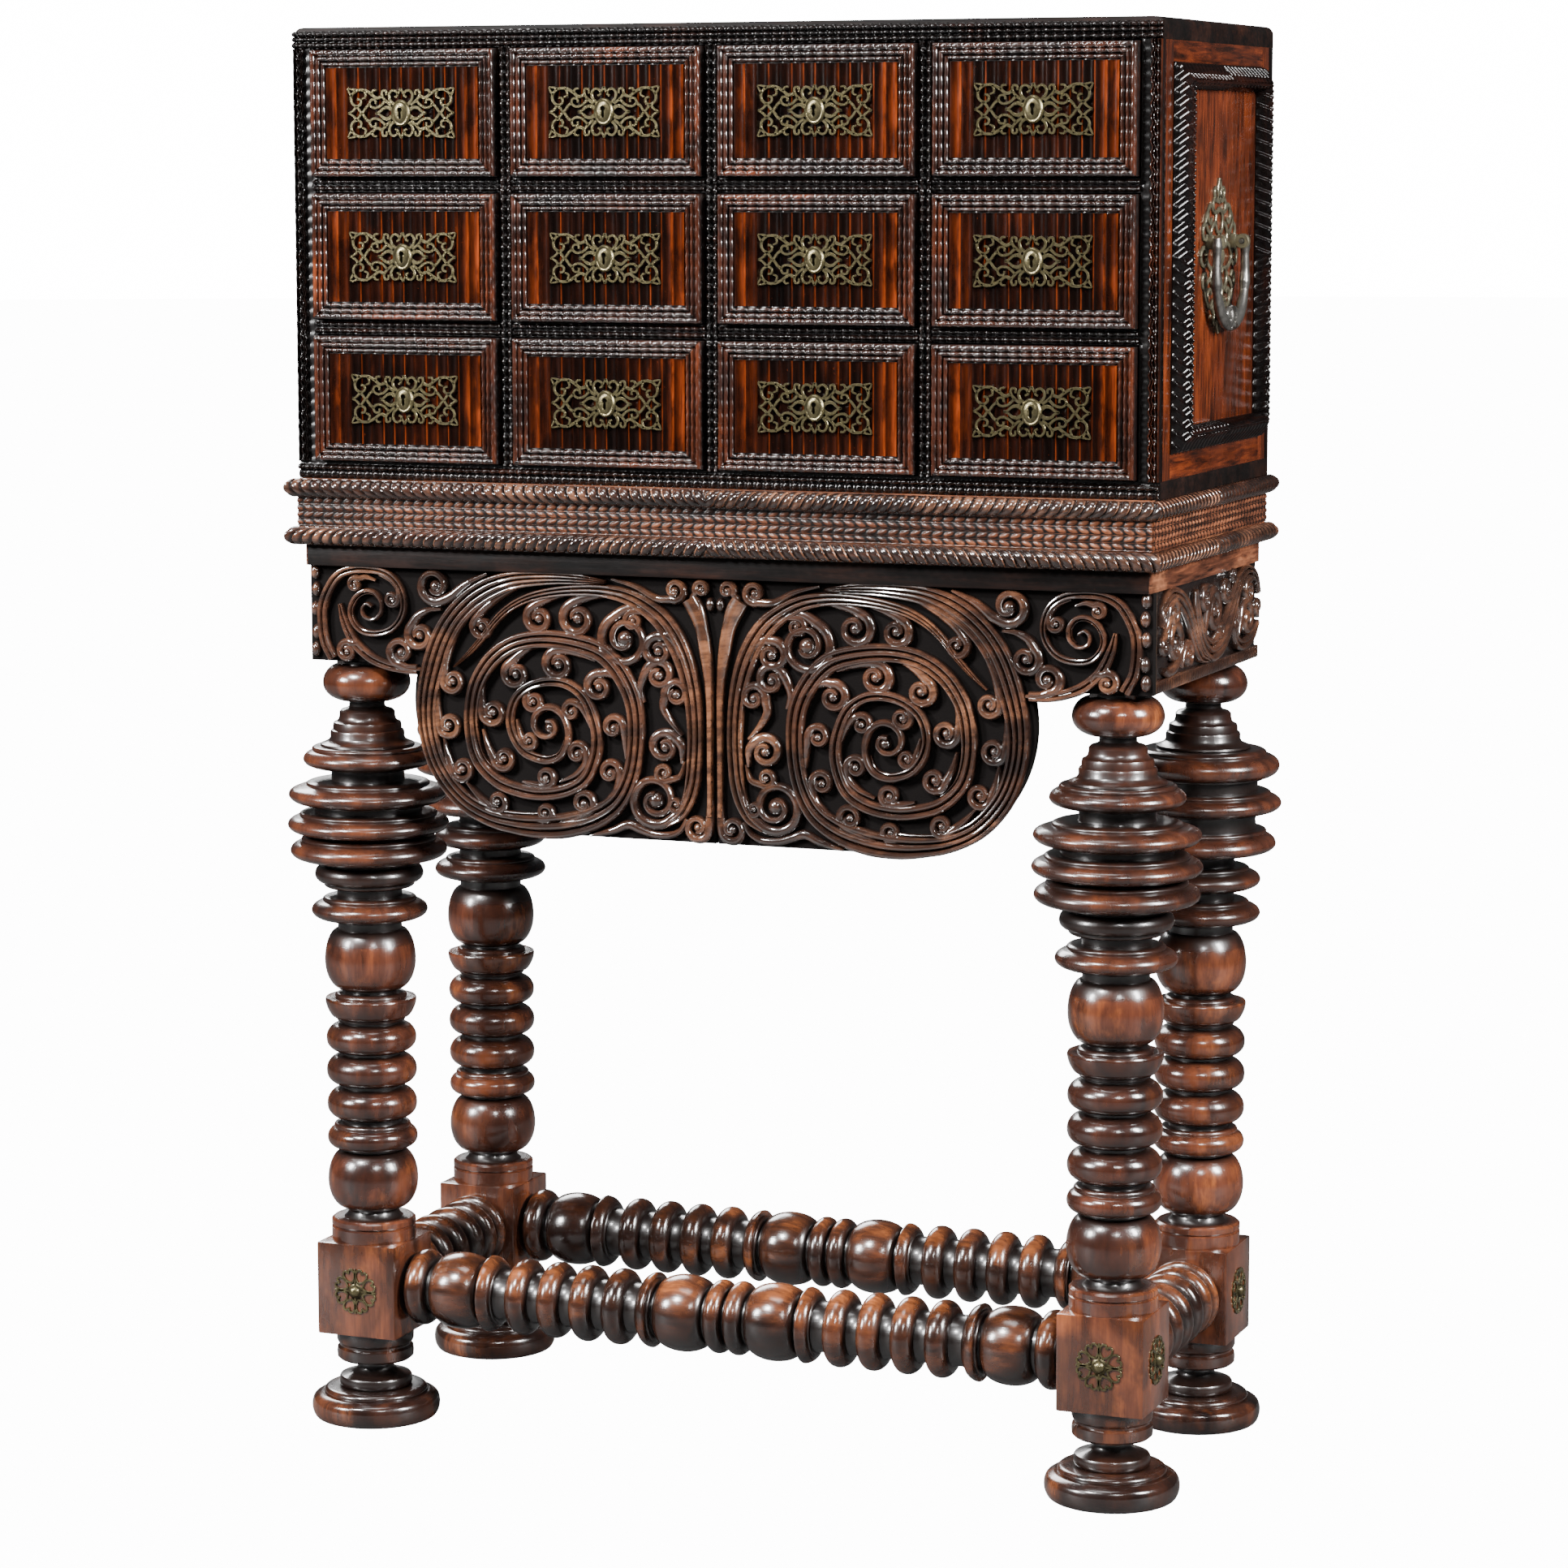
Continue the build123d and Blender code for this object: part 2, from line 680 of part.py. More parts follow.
def make_leg(name, side_x, side_y, rings):
    """A leg: the square block, the turned rings and the square post, in one length."""
    centre = (side_x * leg_spread_x, side_y * leg_spread_y)
    shaft = turned(turned_outline(rings, block_top), (*centre, 0), (0, 0, 1))
    with BuildPart() as leg:
        with BuildSketch(Plane.XY.offset(block_bottom)):
            with Locations(centre):
                Rectangle(block_width, block_width)
        extrude(amount=block_height)
        add(shaft)
        with BuildSketch(Plane.XY.offset(post_bottom)):
            with Locations(centre):
                Rectangle(2 * post_half, 2 * post_half)
        extrude(amount=post_height)
    save(f"leg_{name}", leg.part)
    save(f"foot_{name}", turned(turned_outline(foot_rings), (*centre, 0), (0, 0, 1)))


def make_stretcher(name, origin, along, half_run, half_rings):
    """A turned stretcher between two blocks, the same both ways from its middle bead."""
    rings = stretched(half_rings + [stretcher_middle] + half_rings[::-1], 2 * half_run)
    save(f"stretcher_{name}", turned(turned_outline(rings, -half_run), origin, along))


def make_rosettes():
    """The domed round rosettes on the outer faces of the leg blocks."""
    outline = [
        (0, 0),
        (rosette_radius, 0),
        (rosette_boss_radius, rosette_rise),
        (0, rosette_boss_rise),
    ]
    rosettes = []
    for side_x in (-1, 1):
        for side_y in (-1, 1):
            side_place = (side_x * stand_half_x, side_y * leg_spread_y, stretcher_z)
            rosettes.append(turned(outline, side_place, (side_x, 0, 0)))
        front_place = (side_x * leg_spread_x, -stand_half_y, stretcher_z)
        rosettes.append(turned(outline, front_place, (0, -1, 0)))
    save("block_rosettes", *rosettes)


os.makedirs("parts", exist_ok=True)
make_cabinet()
for row, bottom in enumerate(row_floors):
    for column, x in enumerate(column_centres):
        save(f"drawer_r{row + 1}c{column + 1}", *make_drawer(x, bottom))
        save(f"lock_r{row + 1}c{column + 1}", *make_lock(x, bottom))
make_side_fittings("left", -1)
make_side_fittings("right", 1)
make_plinth()
make_rails()
make_front_apron()
make_side_apron("left", -1)
make_side_apron("right", 1)
make_leg("front_left", -1, -1, front_leg_rings)
make_leg("front_right", 1, -1, front_leg_rings)
make_leg("back_left", -1, 1, back_leg_rings)
make_leg("back_right", 1, 1, back_leg_rings)
long_half = stretcher_end + [stretcher_thin_disc] + long_bead_count * [stretcher_bead]
long_half += [stretcher_thin_disc, stretcher_ball]
long_reach = leg_spread_x - block_width / 2
make_stretcher("front", (0, -leg_spread_y, stretcher_z), (1, 0, 0), long_reach, long_half)
make_stretcher("back", (0, leg_spread_y, stretcher_z), (1, 0, 0), long_reach, long_half)
short_half = [stretcher_end[0]] + (short_bead_count // 2) * [stretcher_bead]
short_reach = leg_spread_y - block_width / 2
make_stretcher("left", (-leg_spread_x, 0, stretcher_z), (0, 1, 0), short_reach, short_half)
make_stretcher("right", (leg_spread_x, 0, stretcher_z), (0, 1, 0), short_reach, short_half)
make_rosettes()
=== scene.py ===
import bmesh
import bpy
from math import ceil, cos, hypot, pi, radians, sin, sqrt, tau

import numpy as np
from mathutils import Matrix, Vector


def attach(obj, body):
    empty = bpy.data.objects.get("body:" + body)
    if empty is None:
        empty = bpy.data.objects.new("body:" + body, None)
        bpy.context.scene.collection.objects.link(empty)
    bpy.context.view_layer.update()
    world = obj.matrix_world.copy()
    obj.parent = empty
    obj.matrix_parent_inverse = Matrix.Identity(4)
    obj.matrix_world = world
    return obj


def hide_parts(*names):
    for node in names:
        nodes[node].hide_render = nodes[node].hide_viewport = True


# The looks of a vargueno on its stand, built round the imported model.
# Lengths are in millimetres until a mesh is made.

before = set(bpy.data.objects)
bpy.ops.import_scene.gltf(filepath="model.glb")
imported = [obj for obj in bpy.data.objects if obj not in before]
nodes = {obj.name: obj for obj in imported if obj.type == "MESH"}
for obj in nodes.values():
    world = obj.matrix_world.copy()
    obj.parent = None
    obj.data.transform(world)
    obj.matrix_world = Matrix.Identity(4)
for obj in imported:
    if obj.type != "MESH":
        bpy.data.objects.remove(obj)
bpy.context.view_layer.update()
MM = 0.001
ORIGIN = (0, 0, 0)
STILL = "cabinet_and_stand"
SIDES = (("left", -1), ("right", 1))
CORNERS = ((-1, -1), (-1, 1), (1, -1), (1, 1))

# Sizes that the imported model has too
HALF_WIDTH = 460.0
CARCASS_FRONT = -188.0
CARCASS_BACK = 196.0
CABINET_BOTTOM = 997.0
CABINET_TOP = 1454.0
FLOOR_Z = 1014.5
CEILING_Z = 1432.5
SIDE_BOARD = 21.5
OPENING = (208.0, 130.0)
COLUMN_X = (-334.5, -111.5, 111.5, 334.5)
ROW_Z = (1079.5, 1223.5, 1367.5)
FRONT = (205.5, 127.5)
FRONT_FACE = -196.0
STAND_X, STAND_Y = 453.0, 193.0
LEG_X, LEG_Y = 408.0, 148.0
BLOCK_HALF, BLOCK_Z = 45.0, (94.5, 193.5)
POST_HALF, POST_Z = 23.0, (802.0, 907.0)
STRETCHER_Z = 144.0
RAIL_Z = (907.0, 929.0)
PLINTH_X, PLINTH_Y = 459.0, 203.0
PLINTH_Z = (929.0, 997.0)


# ---------------------------------------------------------------- shapes

SEED_SHIFT = np.array([37.7, 91.3, 153.1])
# Sections of a band: (share of the half width, share of the height), round the band from its left foot.
ROUND_BAR = [(1, 0), (1, 0.35), (0.82, 0.75), (0.45, 0.96), (0, 1)]
ROUND_BAR += [(-a, b) for a, b in ROUND_BAR[-2::-1]]
FLAT_BAR = [(1, 0), (1, 0.8), (0.8, 1), (-0.8, 1), (-1, 0.8), (-1, 0)]


class Shape:
    """The surface of one piece, gathered before its mesh is made."""

    def __init__(self, grain=(0, 0, 1), seed=0.0):
        self.points, self.relief, self.warm, self.grain, self.faces = [], [], [], [], []
        self.count = 0
        self.turn(grain, seed)

    def turn(self, grain, seed=0.0):
        """Sets the direction of the fibres and the shift of the figure for what is added next."""
        along = Vector(grain).normalized()
        self.fibres = np.array(along.rotation_difference(Vector((0, 0, 1))).to_matrix())
        self.shift = seed * SEED_SHIFT

    def add(self, points, faces, relief=1.0, warm=0.0):
        """Adds a closed surface and turns it right side out. `faces` holds one array for each face size."""
        points = np.asarray(points, float).reshape(-1, 3)
        total = len(points)
        faces = [np.atleast_2d(np.asarray(f, int)) for f in faces]
        if signed_volume(points, faces) < 0:
            faces = [f[:, ::-1] for f in faces]
        self.points.append(points)
        self.relief.append(np.broadcast_to(np.asarray(relief, float).reshape(-1), total))
        self.warm.append(np.broadcast_to(np.asarray(warm, float).reshape(-1), total))
        self.grain.append(points @ self.fibres.T + self.shift)
        self.faces += [f + self.count for f in faces]
        self.count += total

    def piece(self, name, material, replaces=(), body=STILL, slot="dark_wood", location=ORIGIN, sharp=38.0):
        """Makes the mesh and the object, and hands it to the frame."""
        mesh = bpy.data.meshes.new(name)
        corners = np.concatenate([f.ravel() for f in self.faces])
        sizes = np.concatenate([np.full(len(f), f.shape[1]) for f in self.faces])
        starts = np.concatenate([[0], np.cumsum(sizes)[:-1]])
        mesh.vertices.add(self.count)
        mesh.vertices.foreach_set("co", (np.concatenate(self.points) * MM).ravel())
        mesh.loops.add(len(corners))
        mesh.loops.foreach_set("vertex_index", corners)
        mesh.polygons.add(len(starts))
        mesh.polygons.foreach_set("loop_start", starts)
        mesh.update(calc_edges=True)
        mesh.polygons.foreach_set("use_smooth", np.ones(len(starts), bool))
        mesh.set_sharp_from_angle(angle=radians(sharp))
        # `relief` is how far a point stands out, and the woods paint shade where it is low; `warm` lays on
        # the bright tone, in places as painted light.
        for label, values in (("relief", self.relief), ("warm", self.warm)):
            mesh.attributes.new(label, "FLOAT", "POINT").data.foreach_set("value", np.concatenate(values))
        fibres = mesh.attributes.new("grain", "FLOAT_VECTOR", "POINT")
        fibres.data.foreach_set("vector", (np.concatenate(self.grain) * MM).ravel())
        mesh.materials.append(material)
        return place(name, mesh, replaces, body, slot, location)


def place(name, mesh, replaces=(), body=STILL, slot="dark_wood", location=ORIGIN):
    """An object of `mesh` that rides on `body`."""
    piece = bpy.data.objects.new(name, mesh)
    bpy.context.scene.collection.objects.link(piece)
    piece.location = Vector(location) * MM
    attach(piece, body)
    if replaces:
        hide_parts(*replaces)
    return piece


def signed_volume(points, faces):
    """Six times the volume inside the faces, negative where they are inside out."""
    total = 0.0
    for f in faces:
        first = points[f[:, 0]]
        for k in range(1, f.shape[1] - 1):
            total += float(np.einsum("ij,ij->", first, np.cross(points[f[:, k]], points[f[:, k + 1]])))
    return total


def quads(rows, columns, wrap=False):
    """The faces of a grid of points numbered row by row; `wrap` joins each row's end to its start."""
    row = np.arange(rows - 1)[:, None] * columns
    at = np.arange(columns if wrap else columns - 1)[None, :]
    after = (at + 1) % columns
    return np.stack([row + at, row + after, row + columns + after, row + columns + at], -1).reshape(-1, 4)


def bar_faces(rows, columns):
    """The faces of a closed bar of `rows` rings with `columns` points each."""
    first = np.arange(columns)
    return [quads(rows, columns, wrap=True), first[::-1][None, :], (rows - 1) * columns + first[None, :]]


def around(count):
    """`count` angles round a circle."""
    return np.linspace(0, tau, count, endpoint=False)


def directions(line):
    """The unit direction of a line at each of its points."""
    along = np.gradient(line, axis=0)
    return along / np.maximum(np.linalg.norm(along, axis=1, keepdims=True), 1e-9)


def normals(line):
    """The unit direction to the left of a flat line at each of its points."""
    along = directions(line)
    return np.stack([-along[:, 1], along[:, 0]], -1)


def slab(shape, top, base, relief=1.0, warm=0.0):
    """A closed solid between the grid `top` and the flat border of the grid `base`."""
    rows, columns = top.shape[:2]
    number = np.arange(rows * columns).reshape(rows, columns)
    border = np.concatenate([number[0, :-1], number[:-1, -1], number[-1, :0:-1], number[:0:-1, 0]])
    under = rows * columns + np.arange(len(border))
    skirt = np.stack([under, np.roll(under, -1), np.roll(border, -1), border], -1)
    points = np.concatenate([top.reshape(-1, 3), base.reshape(-1, 3)[border]])
    relief, warm = (np.broadcast_to(v, (rows, columns)).astype(float).reshape(-1) for v in (relief, warm))
    # The walls under the border get half their edge's relief, so the wood paints shade on them.
    relief = np.concatenate([relief, relief[border] * 0.5])
    warm = np.concatenate([warm, warm[border]])
    shape.add(points, [quads(rows, columns), skirt, under[::-1][None, :]], relief, warm)


def moulding(shape, start, end, across, out, width, rise, step, columns=25, mitre=0, warm=0.0):
    """A strip from `start` to `end`, `width` wide along `across`, whose face rises by rise(s, u) along
    `out`. A mitre of 1 cuts both ends back at 45 degrees."""
    start, end, across, out = (np.array(v, float) for v in (start, end, across, out))
    length = np.linalg.norm(end - start)
    along = (end - start) / length
    rows = max(2, ceil(length / step) + 1)
    u = np.linspace(0, width, columns)[None, :]
    t = np.linspace(0, 1, rows)[:, None]
    s = mitre * u + t * (length - 2 * mitre * u)
    u = u + 0 * s
    height = rise(s, u)
    base = start + along * s[..., None] + across * u[..., None]
    low, high = height.min(), height.max()
    relief = (height - low) / max(high - low, 1e-6)
    slab(shape, base + out * height[..., None], base, relief, warm)


def plank(shape, x, y, z, edge=1.2, relief=1.0, warm=0.0):
    """A board between the two bounds of each of x, y and z, with its edges rounded over."""
    low, high = np.sort(np.array([x, y, z], float), axis=1).T
    box = bmesh.new()
    bmesh.ops.create_cube(box, size=1.0)
    fit = Matrix.Translation((low + high) / 2) @ Matrix.Diagonal((*(high - low), 1.0))
    bmesh.ops.transform(box, matrix=fit, verts=box.verts)
    bmesh.ops.bevel(box, geom=box.edges[:], offset=edge, segments=2, profile=0.6, affect="EDGES")
    box.verts.index_update()
    points = [v.co[:] for v in box.verts]
    faces = {}
    for face in box.faces:
        faces.setdefault(len(face.verts), []).append([v.index for v in face.verts])
    shape.add(points, list(faces.values()), relief, warm)
    box.free()


def lathe(shape, profile, origin, axis=(0, 0, 1), segments=112, wobble=0.0, dark=None, painted_top_light=0.0):
    """A turned solid. `profile` is (radius, distance along the axis) from one end to the other. Its grooves
    get painted shade, deeper between the places of `dark` (low, high), and the last argument paints light on
    its upper side."""
    radius, along = np.array(profile, float).T
    across = Vector((1, 0, 0)) if abs(axis[2]) > 0.5 else Vector((0, 0, 1))
    axes = np.array([across[:], Vector(axis).cross(across)[:], axis])
    angle = around(segments)
    reach = radius[:, None] * (1 + wobble * np.sin(angle * 2 + along[:, None] * 0.021))
    local = np.stack([np.cos(angle) * reach, np.sin(angle) * reach, along[:, None] + 0 * reach], -1)
    points = (local @ axes + np.array(origin, float)).reshape(-1, 3)
    # Painted shade falls in the grooves, where this crest value is low.
    crests = crests_of(radius, along)
    # In the span `dark` the crest value drops, so the painted groove shade is deeper there.
    if dark:
        crests = crests * np.where((along > dark[0]) & (along < dark[1]), 0.6, 1.0)
    relief = np.repeat(crests, segments)
    # Painted top light: the upper side of a lying turning is made lighter, in the bright tone.
    warm = painted_top_light * np.clip((points[:, 2] - origin[2]) / 28.0 - 0.2, 0, 1) * relief
    shape.add(points, bar_faces(len(radius), segments), relief, warm)


CREST_REACH = 27.0


def crests_of(radius, along):
    """How far each point of a turned profile stands out: 0 in a groove, 1 on a crest."""
    near = np.abs(along[:, None] - along[None, :]) < CREST_REACH
    high = np.where(near, radius[None, :], -1).max(1)
    low = np.where(near, radius[None, :], 1e9).min(1)
    return np.clip((radius - low) / np.maximum(high - low, 6.0), 0, 1)


def smooth_line(points, step):
    """Points about `step` apart on a smooth line through `points`; a point given twice makes a corner."""
    points = np.array(points, float)
    runs, start = [], 0
    for k in range(1, len(points)):
        if np.allclose(points[k], points[k - 1]):
            runs.append(points[start:k])
            start = k
    runs.append(points[start:])
    line = []
    for run in runs:
        if len(run) > 1:
            line += smooth_run(run, step)
        line.append(run[-1:])
    return np.concatenate(line)


def smooth_run(run, step):
    """The stretches of a centripetal spline through `run`, each without its last point."""
    ends = np.concatenate([[2 * run[0] - run[1]], run, [2 * run[-1] - run[-2]]])
    stretches = []
    for a, b, c, d in zip(ends, ends[1:], ends[2:], ends[3:]):
        count = max(1, ceil(np.linalg.norm(c - b) / step))
        t = np.linspace(0, 1, count, endpoint=False)[:, None]
        t01, t12, t23 = (max(np.linalg.norm(q - p), 1e-6) ** 0.5 for p, q in ((a, b), (b, c), (c, d)))
        m1 = t12 * ((b - a) / t01 - (c - a) / (t01 + t12) + (c - b) / t12)
        m2 = t12 * ((c - b) / t12 - (d - b) / (t12 + t23) + (d - c) / t23)
        stretches.append(
            (2 * t**3 - 3 * t**2 + 1) * b + (t**3 - 2 * t**2 + t) * m1
            + (3 * t**2 - 2 * t**3) * c + (t**3 - t**2) * m2
        )
    return stretches


def ribbon(shape, path, width, height, at, section=ROUND_BAR, warm=0.0):
    """A band along the flat `path`. `at` takes (a, b, rise) arrays to a place, and the width and height may
    vary along the path."""
    path = np.asarray(path, float)
    share, level = np.array(section, float).T
    rows = len(path)
    width, height = (np.broadcast_to(np.asarray(v, float), rows)[:, None] for v in (width, height))
    side = share * width / 2
    normal = normals(path)
    a = path[:, None, 0] + normal[:, None, 0] * side
    b = path[:, None, 1] + normal[:, None, 1] * side
    points = at(a, b, level * height)
    shape.add(points, bar_faces(rows, len(section)), np.tile(level, rows), warm)


def dome(shape, middle, radius, height, at, stretch=(1, 1), rings=7, segments=28, relief=None):
    """A closed rounded boss on the flat place `middle`."""
    angle = around(segments)
    lean = np.linspace(0, pi / 2 * 0.97, rings)
    reach = np.concatenate([[1.0], np.cos(lean)])[:, None] * radius
    rise = np.concatenate([[0.0], 0.12 + 0.88 * np.sin(lean)])[:, None] * height
    a = middle[0] + reach * stretch[0] * np.cos(angle)
    b = middle[1] + reach * stretch[1] * np.sin(angle)
    rows = rings + 1
    level = np.repeat(np.linspace(0.1, 1, rows), segments) if relief is None else relief
    shape.add(at(a, b, rise + 0 * angle), bar_faces(rows, segments), level)


def prism(shape, outline, at, low, high, relief=1.0):
    """A flat solid with `outline` for its edge, between the rises `low` and `high`."""
    outline = np.array(outline, float)
    count = len(outline)
    points = np.concatenate([at(outline[:, 0], outline[:, 1], np.full(count, h)) for h in (low, high)])
    here = np.arange(count)
    after = (here + 1) % count
    walls = np.stack([here, after, after + count, here + count], -1)
    shape.add(points, [here[::-1][None, :], here[None, :] + count, walls], relief)


def tube(shape, path, radii, flatten=1.0, segments=14):
    """A closed bar along the points of `path`, with a radius for each; `flatten` squeezes it along X."""
    path, radii = np.asarray(path, float), np.asarray(radii, float)
    sideways = np.array([1.0, 0, 0])
    third = np.cross(directions(path), sideways)
    angle = around(segments)
    ring = flatten * np.cos(angle)[None, :, None] * sideways + np.sin(angle)[None, :, None] * third[:, None]
    shape.add(path[:, None] + radii[:, None, None] * ring, bar_faces(len(path), segments))


def on_front(y):
    """Takes flat (a, b, rise) on an upright plane that faces the front."""
    return lambda a, b, h: np.stack([a + 0 * h, y - h + 0 * a, b + 0 * h], -1)


def on_side(x, side):
    """Takes flat (a, b, rise) on a side of the part; a runs along Y."""
    return lambda a, b, h: np.stack([side * (x + h) + 0 * a, a + 0 * h, b + 0 * h], -1)


def frame_lengths(half, low, high):
    """The four lengths of an upright frame: each one's start, end, direction inwards and length."""
    corners = [(-half, low), (half, low), (half, high), (-half, high)]
    inward = [(0, 1), (-1, 0), (0, -1), (1, 0)]
    for start, end, way in zip(corners, corners[1:] + corners[:1], inward):
        yield start, end, way, hypot(end[0] - start[0], end[1] - start[1])


def ridges(u, rounds):
    """The rise of a section of round ridges over a flat ground, from (middle, half width, rise) of each."""
    rise = np.zeros_like(u)
    for middle, half, top in rounds:
        rise = np.maximum(rise, top * np.sqrt(np.clip(1 - ((u - middle) / half) ** 2, 0, 1)))
    return rise


def wave_of(s, pitch, power=1.6):
    """A wave along a moulding from 0 on the crests to 1 in the hollows, with broad crests."""
    return (0.5 - 0.5 * np.cos(tau * s / pitch)) ** power


def even_pitch(length, about):
    """The pitch near `about` that fits a whole number of times into `length`."""
    return length / round(length / about)


# ---------------------------------------------------------------- materials


class Nodes:
    """Makes and links the nodes of one material."""

    def __init__(self, name):
        self.material = bpy.data.materials.new(name)
        self.material.use_nodes = True
        self.tree = self.material.node_tree
        self.shader = self.tree.nodes["Principled BSDF"]

    def node(self, kind, inputs=(), output=0, **settings):
        """A new node's output. `inputs` is {socket: value or output}."""
        made = self.tree.nodes.new(kind)
        for key, value in settings.items():
            setattr(made, key, value)
        for key, value in dict(inputs).items():
            self.give(made.inputs[key], value)
        return made.outputs[output]

    def give(self, socket, value):
        if isinstance(value, bpy.types.NodeSocket):
            self.tree.links.new(value, socket)
        else:
            socket.default_value = value

    def math(self, operation, a, b, clamp=False):
        return self.node("ShaderNodeMath", {0: a, 1: b}, operation=operation, use_clamp=clamp)

    def times(self, a, b):
        return self.math("MULTIPLY", a, b)

    def scaled(self, vector, scale):
        return self.node("ShaderNodeVectorMath", {0: vector, 1: scale}, operation="MULTIPLY")

    def noise(self, vector, scales=None, scale=1.0, detail=4.0, roughness=0.55, distortion=0.0):
        """A cloudy value, as fine along each axis as `scales` says."""
        if scales:
            vector = self.scaled(vector, scales)
        settings = {"Scale": scale, "Detail": detail, "Roughness": roughness, "Distortion": distortion}
        return self.node("ShaderNodeTexNoise", {"Vector": vector, **settings})

    def step(self, value, low, high, start=0.0, end=1.0):
        """A soft step of `value` between `low` and `high`."""
        inputs = {"Value": value, "From Min": low, "From Max": high, "To Min": start, "To Max": end}
        return self.node("ShaderNodeMapRange", inputs, clamp=True, interpolation_type="SMOOTHSTEP")

    def ramp(self, factor, stops):
        """A colour from three (place, colour) stops."""
        made = self.tree.nodes.new("ShaderNodeValToRGB")
        elements = made.color_ramp.elements
        elements.new(0.5)
        for element, (at, colour) in zip(elements, stops):
            element.position = at
            element.color = (*colour, 1)
        self.tree.links.new(factor, made.inputs[0])
        return made.outputs[0]

    def mix(self, factor, a, b):
        """A colour that goes from `a` to `b`."""
        made = self.tree.nodes.new("ShaderNodeMix")
        made.data_type = "RGBA"
        for key, value in ((0, factor), (6, a), (7, b)):
            self.give(made.inputs[key], (*value, 1) if isinstance(value, tuple) else value)
        return made.outputs[2]

    def drawn(self, name, output=2):
        """An attribute that the mesh carries."""
        return self.node("ShaderNodeAttribute", output=output, attribute_name=name)

    def place_of_pattern(self, attribute=True, turn=(0, 0, 0)):
        """Where a point is in the wood: the mesh's "grain" or the object's place, shifted for each object."""
        if attribute:
            where = self.drawn("grain", 1)
        else:
            where = self.node("ShaderNodeTexCoord", output=3)
            where = self.node("ShaderNodeMapping", {"Vector": where, "Rotation": turn})
        chance = self.scaled(self.node("ShaderNodeObjectInfo", output=5), (3.1, 5.3, 7.7))
        return self.node("ShaderNodeVectorMath", {0: where, 1: chance}, operation="ADD")

    def finish(self, colour, roughness, bump, distance, **settings):
        """Joins the pattern to the shader. `settings` holds the shader's uniform values."""
        self.give(self.shader.inputs["Base Color"], colour)
        self.give(self.shader.inputs["Roughness"], roughness)
        inputs = {"Height": bump, "Strength": 1.0, "Distance": distance}
        self.give(self.shader.inputs["Normal"], self.node("ShaderNodeBump", inputs))
        for key, value in settings.items():
            self.shader.inputs[key.replace("_", " ").title().replace("Ior", "IOR")].default_value = value
        return self.material


# Tones of wood pores, and of the painted shade laid in hollows.
PLAIN_PORE_AND_SHADE = (0.003, 0.002, 0.0018)
BROWN_PORE_AND_SHADE = (0.006, 0.0026, 0.0018)


# How fine each pattern of the woods is across and along the fibres, per metre.
PORE_SCALES, SPECK_SCALES = (900.0, 900.0, 26.0), (410.0, 410.0, 340.0)
STREAK_SCALE, STRETCH = 230.0, 0.09
WEAR_SCALES, BLOTCH_SCALES = (16.0, 16.0, 9.0), (55.0, 55.0, 24.0)
GLOSS_SCALES, PATINA_SCALES, UNEVEN_SCALES = (34.0, 34.0, 20.0), (13.0, 13.0, 8.0), (60.0, 60.0, 18.0)


